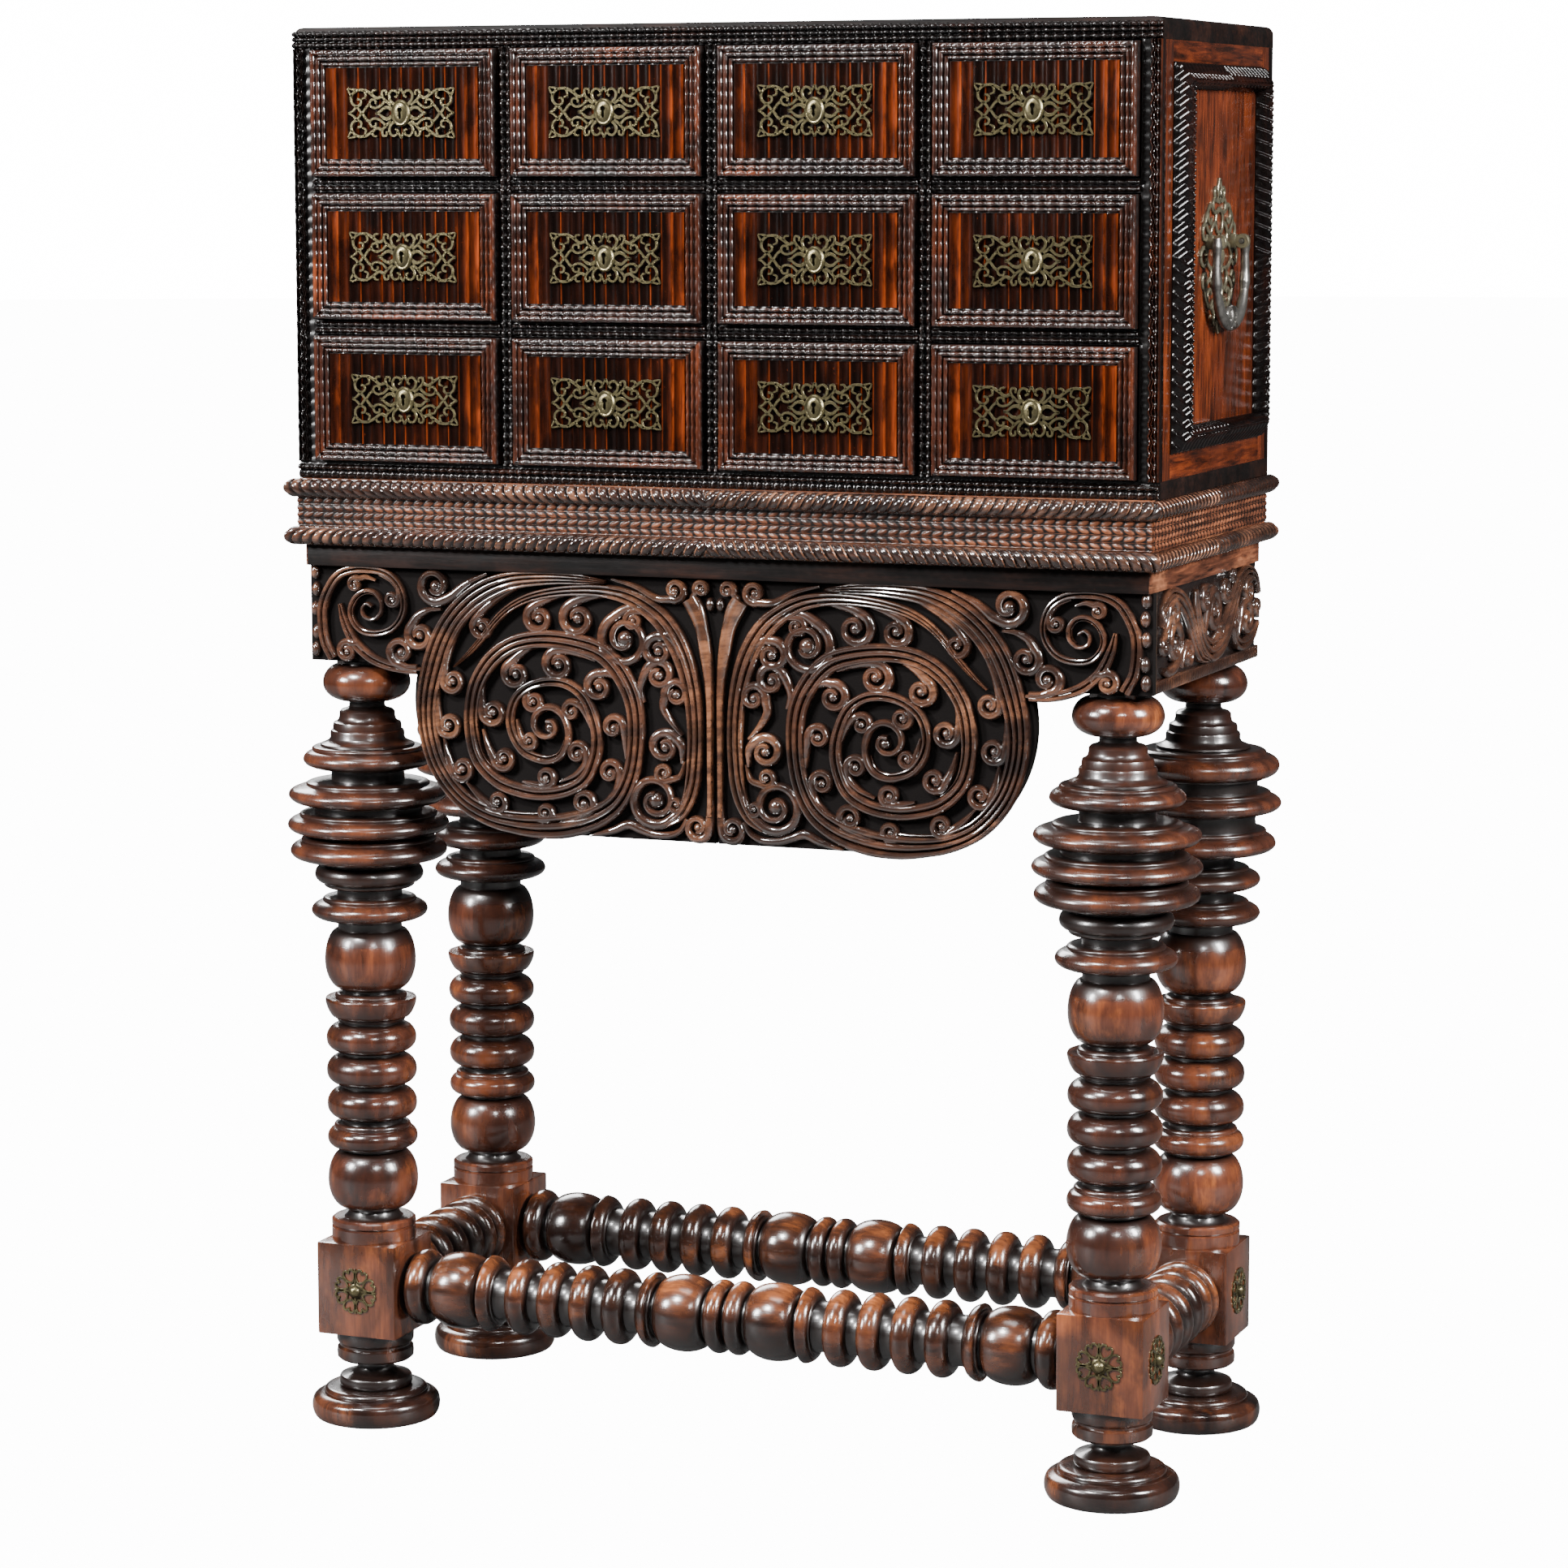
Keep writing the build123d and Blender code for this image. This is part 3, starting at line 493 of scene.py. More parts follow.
def wood(name, colours, bright, pore_and_shade_tone=PLAIN_PORE_AND_SHADE, rough=(0.26, 0.5), figure=18.0, attribute=True,
         turn=ORIGIN, coat=0.35, wear=0.5, spread=(0.38, 0.62), pores=0.35, low=(0.05, 0.75),
         streaks=0.5, patina=0.3, shine=0.5, film=1.5, film_rough=0.16):
    """A polished wood. `colours` are its dark, middle and light tones, `bright` the tone of bare wear, also
    laid on as painted light by the `warm` attribute in places, and the third colour the tone of pores and of
    painted shade in hollows."""
    n = Nodes(name)
    where = n.place_of_pattern(attribute, turn)
    fine = n.noise(where, PORE_SCALES, detail=3.0)
    streak_scales = (STREAK_SCALE, STREAK_SCALE, STREAK_SCALE * STRETCH)
    streak = n.noise(where, streak_scales, detail=5.0, roughness=0.6, distortion=0.4)
    broad = n.noise(where, (figure, figure, figure * STRETCH * 2.5), detail=3.0, distortion=1.2)
    patch = n.noise(where, WEAR_SCALES, detail=5.0, roughness=0.65)
    tone = n.math("ADD", n.times(streak, streaks), n.times(broad, 1 - streaks))
    base = n.ramp(tone, zip((spread[0], sum(spread) / 2, spread[1]), colours))
    if attribute:
        relief, warm = n.drawn("relief"), n.drawn("warm")
        bare = n.times(n.step(patch, 0.5, 0.72), n.step(relief, 0.35, 1.0))
        # `warm` lays on the bright tone; on stretcher tops, flutes, the right stile and rope lines it is
        # painted light.
        blotched = n.times(warm, n.step(n.noise(where, BLOTCH_SCALES), 0.38, 0.58, 0.25, 1.0))
        bare = n.math("ADD", n.times(bare, wear), blotched, clamp=True)
    else:
        bare = n.times(n.step(patch, 0.5, 0.72), wear)
    bare = n.times(bare, n.step(streak, 0.3, 0.7, 0.35, 1.0))
    colour = n.mix(bare, base, bright)
    pore = n.step(fine, 0.42, 0.3)
    colour = n.mix(n.times(pore, pores), colour, pore_and_shade_tone)
    speck = n.step(n.noise(where, SPECK_SCALES, detail=2.0), 0.7, 0.78)
    colour = n.mix(n.times(speck, 0.22), colour, bright)
    smooth, dull = rough
    gloss = n.step(n.noise(where, GLOSS_SCALES), 0.3, 0.7, smooth, (smooth + dull) / 2)
    old_polish = n.noise(where, PATINA_SCALES, distortion=0.6)
    colour = n.mix(n.step(old_polish, 0.42, 0.6, patina, 0.0), colour, colours[0])
    if attribute:
        # Painted shade in hollows: as the relief falls through the span `low`, the colour turns to the dark
        # pore-and-shade tone and the gloss goes dull.
        deep = n.step(relief, low[0], low[1], 1.0, 0.0)
        colour = n.mix(deep, colour, pore_and_shade_tone)
        gloss = n.mix(deep, gloss, (dull, dull, dull))
    uneven = n.noise(where, UNEVEN_SCALES, detail=3.0)
    height = n.math("ADD", n.times(fine, 0.25), n.math("ADD", n.times(streak, 0.35), uneven))
    return n.finish(colour, gloss, height, 0.00035, coat_weight=coat, coat_roughness=film_rough,
                    coat_ior=film, specular_ior_level=shine, ior=1.5)


def metal(name, bright, patina, rough):
    """A worn metal: bright on its edges and crests, darkened in its hollows."""
    n = Nodes(name)
    where = n.place_of_pattern()
    cloud = n.noise(where, (70.0, 70.0, 70.0), detail=6.0, roughness=0.65)
    grit = n.noise(where, (900.0, 900.0, 900.0), detail=3.0)
    relief = n.drawn("relief")
    clean = n.times(n.step(cloud, 0.3, 0.62, 0.25, 1.0), n.step(relief, 0.0, 0.9, 0.1, 1.0))
    colour = n.mix(clean, patina, bright)
    colour = n.mix(n.step(grit, 0.6, 0.72, 0.0, 0.4), colour, patina)
    gloss = n.step(clean, 0.0, 1.0, rough[1], rough[0])
    height = n.math("ADD", grit, n.times(cloud, 2.0))
    return n.finish(colour, gloss, height, 0.00018, metallic=0.85)


# Polished woods, from ebonised ones to the warm veneers and turned parts
front_wood = wood(
    "front_wood", ((0.002, 0.0012, 0.001), (0.008, 0.0032, 0.0025), (0.024, 0.0075, 0.004)),
    (0.20, 0.042, 0.012), wear=0.7, rough=(0.22, 0.42), coat=0.9, shine=0.35, film=1.7, film_rough=0.07,
)
strip_wood = wood(
    "strip_wood", ((0.001, 0.0007, 0.0006), (0.003, 0.0016, 0.0013), (0.009, 0.0035, 0.0025)),
    (0.11, 0.026, 0.010), wear=0.25, rough=(0.14, 0.3), coat=0.0, shine=0.6,
)
flute_wood = wood(
    "flute_wood", ((0.0012, 0.0006, 0.0005), (0.006, 0.0018, 0.0011), (0.024, 0.0052, 0.0022)),
    (0.31, 0.05, 0.009), wear=0.25, rough=(0.12, 0.24), coat=0.0, low=(0.1, 0.9), streaks=0.4, shine=0.27,
)
frame_wood = wood(
    "frame_wood", ((0.001, 0.0008, 0.0008), (0.004, 0.0022, 0.002), (0.014, 0.005, 0.0035)),
    (0.08, 0.018, 0.008), wear=0.3, rough=(0.12, 0.24), coat=0.0, shine=0.2,
)
turned_wood = wood(
    "turned_wood", ((0.010, 0.0045, 0.0036), (0.088, 0.0265, 0.0138), (0.22, 0.061, 0.0225)),
    (0.42, 0.12, 0.032), BROWN_PORE_AND_SHADE, wear=0.7, rough=(0.15, 0.36), coat=0.6, figure=20.0,
    spread=(0.3, 0.7), low=(0.1, 0.95), streaks=0.2, pores=0.25, patina=0.7,
)
carved_wood = wood(
    "carved_wood", ((0.006, 0.0032, 0.0027), (0.036, 0.0155, 0.0095), (0.115, 0.044, 0.023)),
    (0.42, 0.17, 0.08), BROWN_PORE_AND_SHADE, wear=0.6, rough=(0.2, 0.4), coat=1.0, figure=22.0,
    spread=(0.33, 0.67), low=(0.15, 0.85), streaks=0.35, patina=0.5, shine=0.3, film=1.95, film_rough=0.1,
)
ground_wood = wood(
    "ground_wood", ((0.001, 0.0007, 0.0006), (0.0025, 0.0015, 0.0012), (0.005, 0.0025, 0.002)),
    (0.008, 0.004, 0.003), wear=0.2, rough=(0.75, 0.9), coat=0.0, shine=0.12,
)
veneer_wood = wood(
    "veneer_wood", ((0.005, 0.0020, 0.0013), (0.056, 0.0108, 0.0040), (0.125, 0.024, 0.0068)),
    (0.25, 0.050, 0.012), wear=0.4, rough=(0.22, 0.38), coat=0.2, figure=26.0, spread=(0.38, 0.6),
    streaks=0.7, patina=0.5,
)
plinth_wood = wood(
    "plinth_wood", ((0.012, 0.0055, 0.004), (0.105, 0.036, 0.019), (0.26, 0.088, 0.040)),
    (0.58, 0.23, 0.11), wear=0.8, rough=(0.32, 0.48), coat=0.1, low=(0.0, 0.5), shine=0.2,
)
rope_wood = wood(
    "rope_wood", ((0.005, 0.003, 0.0025), (0.020, 0.0092, 0.0066), (0.055, 0.021, 0.0125)),
    (0.50, 0.22, 0.12), BROWN_PORE_AND_SHADE, wear=0.5, rough=(0.2, 0.38), coat=0.9, low=(0.1, 0.9), shine=0.15,
    film=1.65, film_rough=0.08,
)
rail_wood = wood(
    "rail_wood", ((0.0012, 0.0008, 0.0007), (0.004, 0.0022, 0.0018), (0.012, 0.005, 0.0035)),
    (0.05, 0.015, 0.007), wear=0.35, rough=(0.42, 0.6), coat=0.0, shine=0.18,
)
# Plain woods of the drawer boxes and the back
inside_wood = wood(
    "inside_wood", ((0.05, 0.022, 0.010), (0.13, 0.06, 0.028), (0.22, 0.11, 0.052)), (0.3, 0.16, 0.08),
    wear=0.25, rough=(0.5, 0.7), coat=0.0, pores=0.5,
)
back_wood = wood(
    "back_wood", ((0.018, 0.009, 0.005), (0.05, 0.024, 0.012), (0.095, 0.047, 0.023)), (0.15, 0.08, 0.04),
    wear=0.3, rough=(0.48, 0.7), coat=0.0, pores=0.5,
)
# The feet and stretchers, darker than the legs
darker_turned_wood = wood(
    "darker_turned_wood", ((0.006, 0.0032, 0.0027), (0.040, 0.0138, 0.0078), (0.12, 0.036, 0.0148)),
    (0.36, 0.105, 0.03), BROWN_PORE_AND_SHADE, wear=0.6, rough=(0.15, 0.36), coat=0.6, figure=20.0,
    spread=(0.32, 0.7), low=(0.1, 0.95), streaks=0.2, pores=0.25, patina=0.8,
)
# Metals: colour, patina and (smooth, dull) roughness
handle_brass = metal("handle_brass", (0.34, 0.31, 0.21), (0.03, 0.026, 0.016), (0.28, 0.5))
brass = metal("brass", (0.165, 0.14, 0.07), (0.012, 0.010, 0.006), (0.24, 0.46))
steel = metal("bail_metal", (0.20, 0.19, 0.175), (0.02, 0.018, 0.016), (0.28, 0.55))
# The field of the top, and the dividers inside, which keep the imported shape
top_wood = wood(
    "top_wood", ((0.006, 0.0025, 0.0015), (0.035, 0.009, 0.004), (0.11, 0.024, 0.008)),
    (0.28, 0.065, 0.015), wear=0.4, rough=(0.34, 0.52), coat=0.1, figure=20.0,
)
divider_wood = wood(
    "cabinet_dividers_wood", ((0.03, 0.014, 0.008), (0.07, 0.035, 0.018), (0.12, 0.065, 0.034)),
    (0.2, 0.11, 0.06), attribute=False, turn=(0, radians(90), 0), rough=(0.5, 0.7), coat=0.0,
)
for material_slot in nodes["cabinet_dividers"].material_slots:
    material_slot.material = divider_wood


# ---------------------------------------------------------------- camera, lights and floor

CAMERA_PLACE = (1.6916, -4.29416, 1.31765)
YAW, PITCH, ROLL = 21.774, -7.532, -0.101
camera = bpy.data.objects.new("camera", bpy.data.cameras.new("camera"))
bpy.context.scene.collection.objects.link(camera)
bpy.context.scene.camera = camera
camera.matrix_world = (
    Matrix.Translation(CAMERA_PLACE)
    @ Matrix.Rotation(radians(YAW), 4, "Z")
    @ Matrix.Rotation(radians(90 + PITCH), 4, "X")
    @ Matrix.Rotation(radians(ROLL), 4, "Z")
)
camera.data.lens = 102.859
camera.data.sensor_width = 36.0
camera.data.shift_x = 0.01346
camera.data.shift_y = -0.01863
camera.data.clip_end = 200.0


def softbox(name, place_at, aim, size, power):
    """A rectangular soft light at `place_at` that faces `aim`. Places and sizes are in metres."""
    lamp = bpy.data.lights.new(name, "AREA")
    lamp.shape, lamp.size, lamp.size_y = "RECTANGLE", size[0], size[1]
    lamp.energy = power
    made = bpy.data.objects.new(name, lamp)
    bpy.context.scene.collection.objects.link(made)
    made.location = place_at
    made.rotation_euler = (Vector(aim) - Vector(place_at)).to_track_quat("-Z", "Y").to_euler()


# Name, place, what it faces, size and power
for light in (
    ("key_light", (-3.1, -3.15, 2.5), (0, 0, 0.8), (0.7, 0.95), 390),
    ("right_light", (3.4, -0.75, 2.4), (0.2, 0, 0.9), (0.6, 1.2), 385),
    ("front_light", (-1.5, -3.4, 4.3), (0, 0, 1.0), (0.7, 0.6), 480),
    ("top_light", (-0.3, -0.7, 5.0), (0, 0, 0.8), (2.2, 1.3), 80),
    ("fill_light", (2.3, -3.9, 3.2), (0.2, 0, 0.9), (0.5, 0.5), 95),
    ("back_light", (-2.6, 3.4, 2.8), (0, 0, 0.8), (2.0, 1.6), 170),
):
    softbox(*light)


def make_world():
    """A dim surround that the camera sees as plain white."""
    world = bpy.data.worlds.new("studio")
    bpy.context.scene.world = world
    world.use_nodes = True
    sky = world.node_tree
    surround = sky.nodes["Background"]
    surround.inputs["Color"].default_value = (0.95, 0.97, 1.0, 1)
    surround.inputs["Strength"].default_value = 0.05
    backdrop = sky.nodes.new("ShaderNodeBackground")
    backdrop.inputs["Color"].default_value = (1, 1, 1, 1)
    backdrop.inputs["Strength"].default_value = 16.0
    ray = sky.nodes.new("ShaderNodeLightPath")
    choose = sky.nodes.new("ShaderNodeMixShader")
    sky.links.new(ray.outputs["Is Camera Ray"], choose.inputs[0])
    sky.links.new(surround.outputs[0], choose.inputs[1])
    sky.links.new(backdrop.outputs[0], choose.inputs[2])
    sky.links.new(choose.outputs[0], sky.nodes["World Output"].inputs["Surface"])


def make_floor():
    """A plain pale studio floor, a wide disc under the stand."""
    disc = bmesh.new()
    bmesh.ops.create_circle(disc, cap_ends=True, segments=96, radius=40.0)
    mesh = bpy.data.meshes.new("studio_floor")
    disc.to_mesh(mesh)
    disc.free()
    made = bpy.data.objects.new("studio_floor", mesh)
    bpy.context.scene.collection.objects.link(made)
    n = Nodes("pale_floor")
    where = n.node("ShaderNodeTexCoord", output=3)
    tone = n.step(n.noise(where, scale=3.0), 0.3, 0.7, 0.07, 0.09)
    n.finish(n.node("ShaderNodeCombineColor", {0: tone, 1: tone, 2: tone}), 0.6, tone, 0.001)
    glow = n.node("ShaderNodeEmission", {"Color": (1, 1, 1, 1), "Strength": 14.0})
    seen = n.node("ShaderNodeLightPath", output=0)
    mixed = n.node("ShaderNodeMixShader", {0: seen, 1: n.shader.outputs[0], 2: glow})
    n.tree.links.new(mixed, n.tree.nodes["Material Output"].inputs["Surface"])
    mesh.materials.append(n.material)


make_world()
make_floor()


# ---------------------------------------------------------------- turned legs, feet and stretchers

# Outlines of turned rings: (share of the thickness, share of the way from the groove to the crest).
RING = {
    "ball": [(0.5 - cos(radians(a)) / 2, sin(radians(a))) for a in range(0, 181, 15)],
    "bead": [
        (0, 0), (0.03, 0.32), (0.12, 0.66), (0.27, 0.91), (0.45, 1), (0.64, 0.96), (0.82, 0.76),
        (0.94, 0.45), (1, 0),
    ],
    "disc": [
        (0, 0), (0, 0), (0.01, 0.3), (0.08, 0.36), (0.08, 0.36), (0.1, 0.62), (0.24, 0.9), (0.42, 1),
        (0.6, 0.95), (0.74, 0.78), (0.82, 0.55), (0.82, 0.55), (0.9, 0.56), (0.98, 0.46), (1, 0.22), (1, 0),
    ],
    "saucer": [
        (0, 0), (0, 0), (0.02, 0.25), (0.1, 0.34), (0.1, 0.34), (0.2, 0.62), (0.42, 0.86), (0.64, 0.98),
        (0.78, 1), (0.84, 0.96), (0.84, 0.96), (0.85, 0.7), (0.84, 0.5), (0.84, 0.5), (0.92, 0.5),
        (1, 0.38), (1, 0),
    ],
    "bun": [
        (0, 0.8), (0, 0.8), (0.05, 0.9), (0.25, 0.99), (0.5, 1), (0.68, 0.93), (0.79, 0.72), (0.8, 0.6),
        (0.8, 0.6), (0.88, 0.6), (0.97, 0.52), (1, 0.3), (1, 0),
    ],
    "collar": [
        (0, 0), (0, 0), (0, 0.85), (0.08, 1), (0.08, 1), (0.55, 1), (0.55, 1), (0.62, 0.78), (0.69, 1),
        (0.69, 1), (0.9, 1), (0.9, 1), (1, 0.8), (1, 0.8), (1, 0),
    ],
}


def ring(kind, low, high, radius, below, above, flip=False):
    """The (radius, place) points of one turned ring between two grooves; `flip` turns it end for end."""
    shares = RING[kind]
    if flip:
        shares = [(1 - t, s) for t, s in shares[::-1]]
    rise = radius - min(below, above)
    line = smooth_line([(t * (high - low), s * rise) for t, s in shares], 1.1)
    groove = below + (above - below) * np.clip(line[:, 0] / (high - low), 0, 1)
    return np.stack([groove + (radius - groove) * (line[:, 1] / rise), low + line[:, 0]], -1)


def stacked(rings):
    """One outline of rings and of plain (radius, place) points, in order."""
    return np.concatenate([ring(*r) if isinstance(r[0], str) else np.array([r]) for r in rings])


# Turned profiles from the floor up: rings as `ring` takes them, and (radius, height) points between them.
LOWER_LEG = [
    (44, 190), ("collar", 193.5, 216.5, 44.3, 43, 31), (28, 219), (26.5, 223),
    ("ball", 226, 288, 47.3, 27.5, 31), ("disc", 289.5, 318, 47.2, 31, 31.5),
    ("bead", 322, 355, 47, 31, 31), ("bead", 358, 390.5, 47.2, 31, 31), ("bead", 393, 424, 47.1, 31, 31),
    ("saucer", 426, 456, 47.7, 31, 27), ("ball", 459, 524, 47.6, 27, 33.5), (33.5, 525), (33.2, 531),
]
FRONT_DISCS = [
    ("disc", 532.5, 559, 60.6, 33.6, 34), (34, 561), (34, 566), ("disc", 568, 594, 56.6, 34, 44, True),
    ("disc", 595.5, 622.5, 81.5, 50, 56), ("disc", 624, 648.5, 83.9, 56, 56), (56, 650), (56, 654),
    ("disc", 655, 681, 82.6, 56, 38.5), (38, 683), (38, 691), ("disc", 692.5, 717, 67, 38, 47),
]
BACK_DISCS = [
    ("disc", 532.5, 559, 61, 33.6, 34), (34, 561), (34, 566), ("disc", 568, 594, 61, 34, 34.5),
    (34, 596), (34, 603), ("disc", 605, 633, 76.4, 34, 56), (56, 635), (55, 642), (56, 648),
    ("disc", 649, 673, 81.5, 56, 57), (57, 675), (57, 683), ("disc", 685, 716.5, 79.3, 57, 47),
]
UPPER_LEG = [
    (49, 717.5), (48.5, 719.5), (44.5, 721), (40.5, 723), (38.5, 726), (38.6, 731), (37.6, 733.2),
    (35.8, 734), (35.6, 739), (34.8, 741.5), (32, 742.6), (30, 744.5), (29, 748), (28.8, 752.5),
    (26.5, 755), (21, 756.5), (18.6, 758.5), (18.5, 762.5), (20.5, 764),
    ("ball", 764, 803, 45.5, 20.5, 27), (27, 806),
]
FOOT = [
    ("bun", 0, 33.5, 67.3, 30, 36), (37.4, 34.5), (38.2, 37), (38.2, 43), (37, 45), (32.5, 46.5),
    (27, 48), (21.5, 50.5), (19.2, 54), (19.4, 59.5), (24, 61.8), (31, 62.5), (37.5, 63), (40.2, 65.5),
    (40.6, 71), (40, 75.5), (37.6, 77.6), (37.4, 79.4), (39.6, 81.4), (40.6, 84), (40.8, 90), (40, 95.5),
]


def make_leg(name, side_x, side_y, discs, seed):
    """One leg: its square block and post and the turned shaft, and the foot under it."""
    x, y = side_x * LEG_X, side_y * LEG_Y
    shape = Shape(seed=seed)
    # The disc stack between 532 and 720 mm gets a deeper painted groove shade.
    lathe(shape, stacked(LOWER_LEG + discs + UPPER_LEG), (x, y, 0), wobble=0.0015, dark=(532.0, 720.0))
    for half, heights, edge, warm in ((BLOCK_HALF, BLOCK_Z, 2.4, 0.12), (POST_HALF, POST_Z, 1.5, 0.0)):
        plank(shape, (x - half, x + half), (y - half, y + half), heights, edge, warm=warm)
    shape.piece(f"turned_leg_{name}", turned_wood, [f"leg_{name}"])
    foot = Shape(seed=seed + 3)
    lathe(foot, stacked(FOOT), (x, y, 0), wobble=0.002)
    foot.piece(f"turned_foot_{name}", darker_turned_wood, [f"foot_{name}"])


# The rings of a stretcher's high half: (middle, half thickness, radius, kind, flip).
LONG_HALF = [
    (11, 10, 38, "bead", False), (50.5, 27, 40, "ball", False), (88.5, 8, 39, "saucer", True),
    (122, 12.5, 39.5, "bead", False), (158.5, 12.5, 39.5, "bead", False),
    (195, 12.5, 39.5, "bead", False), (231.5, 12.5, 39.5, "bead", False),
    (267, 8.5, 39.5, "saucer", False), (304.5, 27, 40, "ball", False), (347.5, 12, 40, "bead", False),
]
SHORT_HALF = [
    (0, 12, 39.5, "bead", False), (37, 12, 39.5, "bead", False), (70, 11, 39, "bead", False),
    (92, 7.5, 40, "bead", False),
]
STRETCHER_GROOVE = 27.0


def stretcher_outline(half):
    """The outline of a stretcher, low end first, from the rings of its high half."""
    rings = [(-m, h, r, kind, not flip) for m, h, r, kind, flip in half[::-1] if m > 0] + half
    line = []
    for k, (middle, thick, radius, kind, flip) in enumerate(rings):
        low, high = middle - thick, middle + thick
        line.append((kind, low, high, radius, STRETCHER_GROOVE, STRETCHER_GROOVE, flip))
        if k + 1 < len(rings):
            after = rings[k + 1][0] - rings[k + 1][1]
            if after - high > 5:
                line += [(26.6, high + 1.5), (26.0, (high + after) / 2), (26.6, after - 1.5)]
    return line


def make_stretcher(name, origin, axis, half, reach, seed, painted_top_light):
    """A turned stretcher with a tenon at both ends, with painted top light on its upper side as strong as the
    last argument says.
    """
    shape = Shape(axis, seed)
    line = [(33.0, -reach), *stretcher_outline(half), (33.0, reach)]
    lathe(shape, stacked(line), origin, axis, wobble=0.002, painted_top_light=painted_top_light)
    shape.piece(f"turned_stretcher_{name}", darker_turned_wood, [f"stretcher_{name}"])


make_leg("front_left", -1, -1, FRONT_DISCS, 1)
make_leg("front_right", 1, -1, FRONT_DISCS, 2)
make_leg("back_left", -1, 1, BACK_DISCS, 3)
make_leg("back_right", 1, 1, BACK_DISCS, 4)
# The last number paints light on the upper side of each stretcher: most on the front, least on the sides.
make_stretcher("front", (0, -LEG_Y, STRETCHER_Z), (1, 0, 0), LONG_HALF, 363.0, 5, 0.9)
make_stretcher("back", (0, LEG_Y, STRETCHER_Z), (1, 0, 0), LONG_HALF, 363.0, 6, 0.4)
make_stretcher("left", (-LEG_X, 0, STRETCHER_Z), (0, 1, 0), SHORT_HALF, 103.0, 7, 0.2)
make_stretcher("right", (LEG_X, 0, STRETCHER_Z), (0, 1, 0), SHORT_HALF, 103.0, 8, 0.2)


# ---------------------------------------------------------------- drawers

FRAME_WIDTH = 18.0
FRONT_BACK = -178.0
BOX_BOARD = 8.0


def front_ripples(length, depth, sway):
    """The rise of a drawer's frame: three round ridges, rippled with notches `depth` deep."""
    pitch = even_pitch(length, 12.2)

    def rise(s, u):
        wave = wave_of(np.minimum(s, length - s), pitch, 1.8)
        u = u + sway * (wave - 0.5)
        section = 1.8 + ridges(u, [(3.3, 3.4, 5.2), (9.0, 2.6, 4.4), (14.6, 2.3, 3.6)])
        section = np.where(u < 0.9, np.minimum(section, 2.4 + 2.4 * u), section)
        return np.where(u > 17.1, 0.8, section - depth * wave * np.clip(u / 1.5, 0.35, 1))

    return rise


def make_drawer_front():
    """The shape of a drawer's front: the board and the rippled frame with mitred corners."""
    shape = Shape(grain=(1, 0, 0))
    half_x, half_z = FRONT[0] / 2, FRONT[1] / 2
    # Relief 0.5 gives the board behind the frame half the painted hollow shade.
    plank(shape, (-half_x, half_x), (FRONT_FACE + 0.8, FRONT_BACK), (-half_z, half_z), edge=1.0, relief=0.5)
    for k, (start, end, way, length) in enumerate(frame_lengths(half_x, -half_z, half_z)):
        level = k % 2 == 0
        shape.turn((1, 0, 0) if level else (0, 0, 1), seed=k)
        rise = front_ripples(length, 2.3, 0.2) if level else front_ripples(length, 0.25, 0.35)
        moulding(
            shape, (start[0], FRONT_FACE, start[1]), (end[0], FRONT_FACE, end[1]), (way[0], 0, way[1]),
            (0, -1, 0), FRAME_WIDTH, rise, 1.25, 37, mitre=1, warm=0.1 if level else 0.25,
        )
    return shape


def make_flutes():
    """The shape of a drawer's sunk panel with upright flutes, with a warm wear tone near the sides, painted
    light on each flute's right wall and arris, and painted shade in its hollow and on its left wall.
    """
    shape = Shape()
    half_x, half_z = FRONT[0] / 2 - FRAME_WIDTH, FRONT[1] / 2 - FRAME_WIDTH
    count, per_flute, radius = 14, 12, 7.9
    pitch = 2 * half_x / count
    x = np.linspace(-half_x, half_x, count * per_flute + 1)
    z = np.linspace(-half_z, half_z, 14)
    across = ((x + half_x) % pitch) / pitch - 0.5
    across[-1] = 0.5
    hollow = np.sqrt(radius**2 - (across * pitch) ** 2) - sqrt(radius**2 - (pitch / 2) ** 2)
    depth = hollow[None, :] + 0 * z[:, None]
    zz, xx = np.meshgrid(z, x, indexing="ij")
    top = np.stack([xx, FRONT_FACE - 3.5 + depth, zz], -1)
    base = np.stack([xx, np.full_like(xx, FRONT_FACE + 4.0), zz], -1)
    # Warm bare tone on the flutes nearest the ends: partly their own colour, partly painted light, as it is
    # stronger on each flute's right wall.
    end_tone_and_lit_wall = np.clip((np.abs(xx) - half_x + 1.9 * pitch) / pitch, 0, 1)
    end_tone_and_lit_wall = end_tone_and_lit_wall * np.clip(0.5 + 0.8 * across, 0.1, 0.75)
    # A painted highlight on the right arris of each flute.
    lit_arris_highlight = np.clip(1 - depth / 0.8, 0, 1) * 0.6
    # Painted shade, deeper in each flute and on its left wall.
    relief = np.clip(1 - depth * 0.13 - np.clip(-0.6 * across, 0, 1), 0, 1)
    slab(shape, top, base, relief, np.maximum(end_tone_and_lit_wall, lit_arris_highlight * (across > 0)))
    return shape


def make_box():
    """The shape of a drawer's box behind its front."""
    shape = Shape(grain=(0, 1, 0))
    half, low, high, back = 102.5, -64.7, 59.0, 169.0
    floor = low + 5.0
    plank(shape, (-half, half), (FRONT_BACK, back), (low, floor), edge=0.8)
    for side in (-1, 1):
        plank(shape, (side * half, side * (half - BOX_BOARD)), (FRONT_BACK, back), (floor, high), edge=0.8)
    shape.turn((1, 0, 0), seed=2)
    inner = half - BOX_BOARD
    plank(shape, (-inner, inner), (back - BOX_BOARD, back), (floor, high - 3.0), edge=0.8)
    return shape


PLATE_FACE, PLATE_RISE, PLATE_SHARE = FRONT_FACE - 3.4, 1.75, 0.84
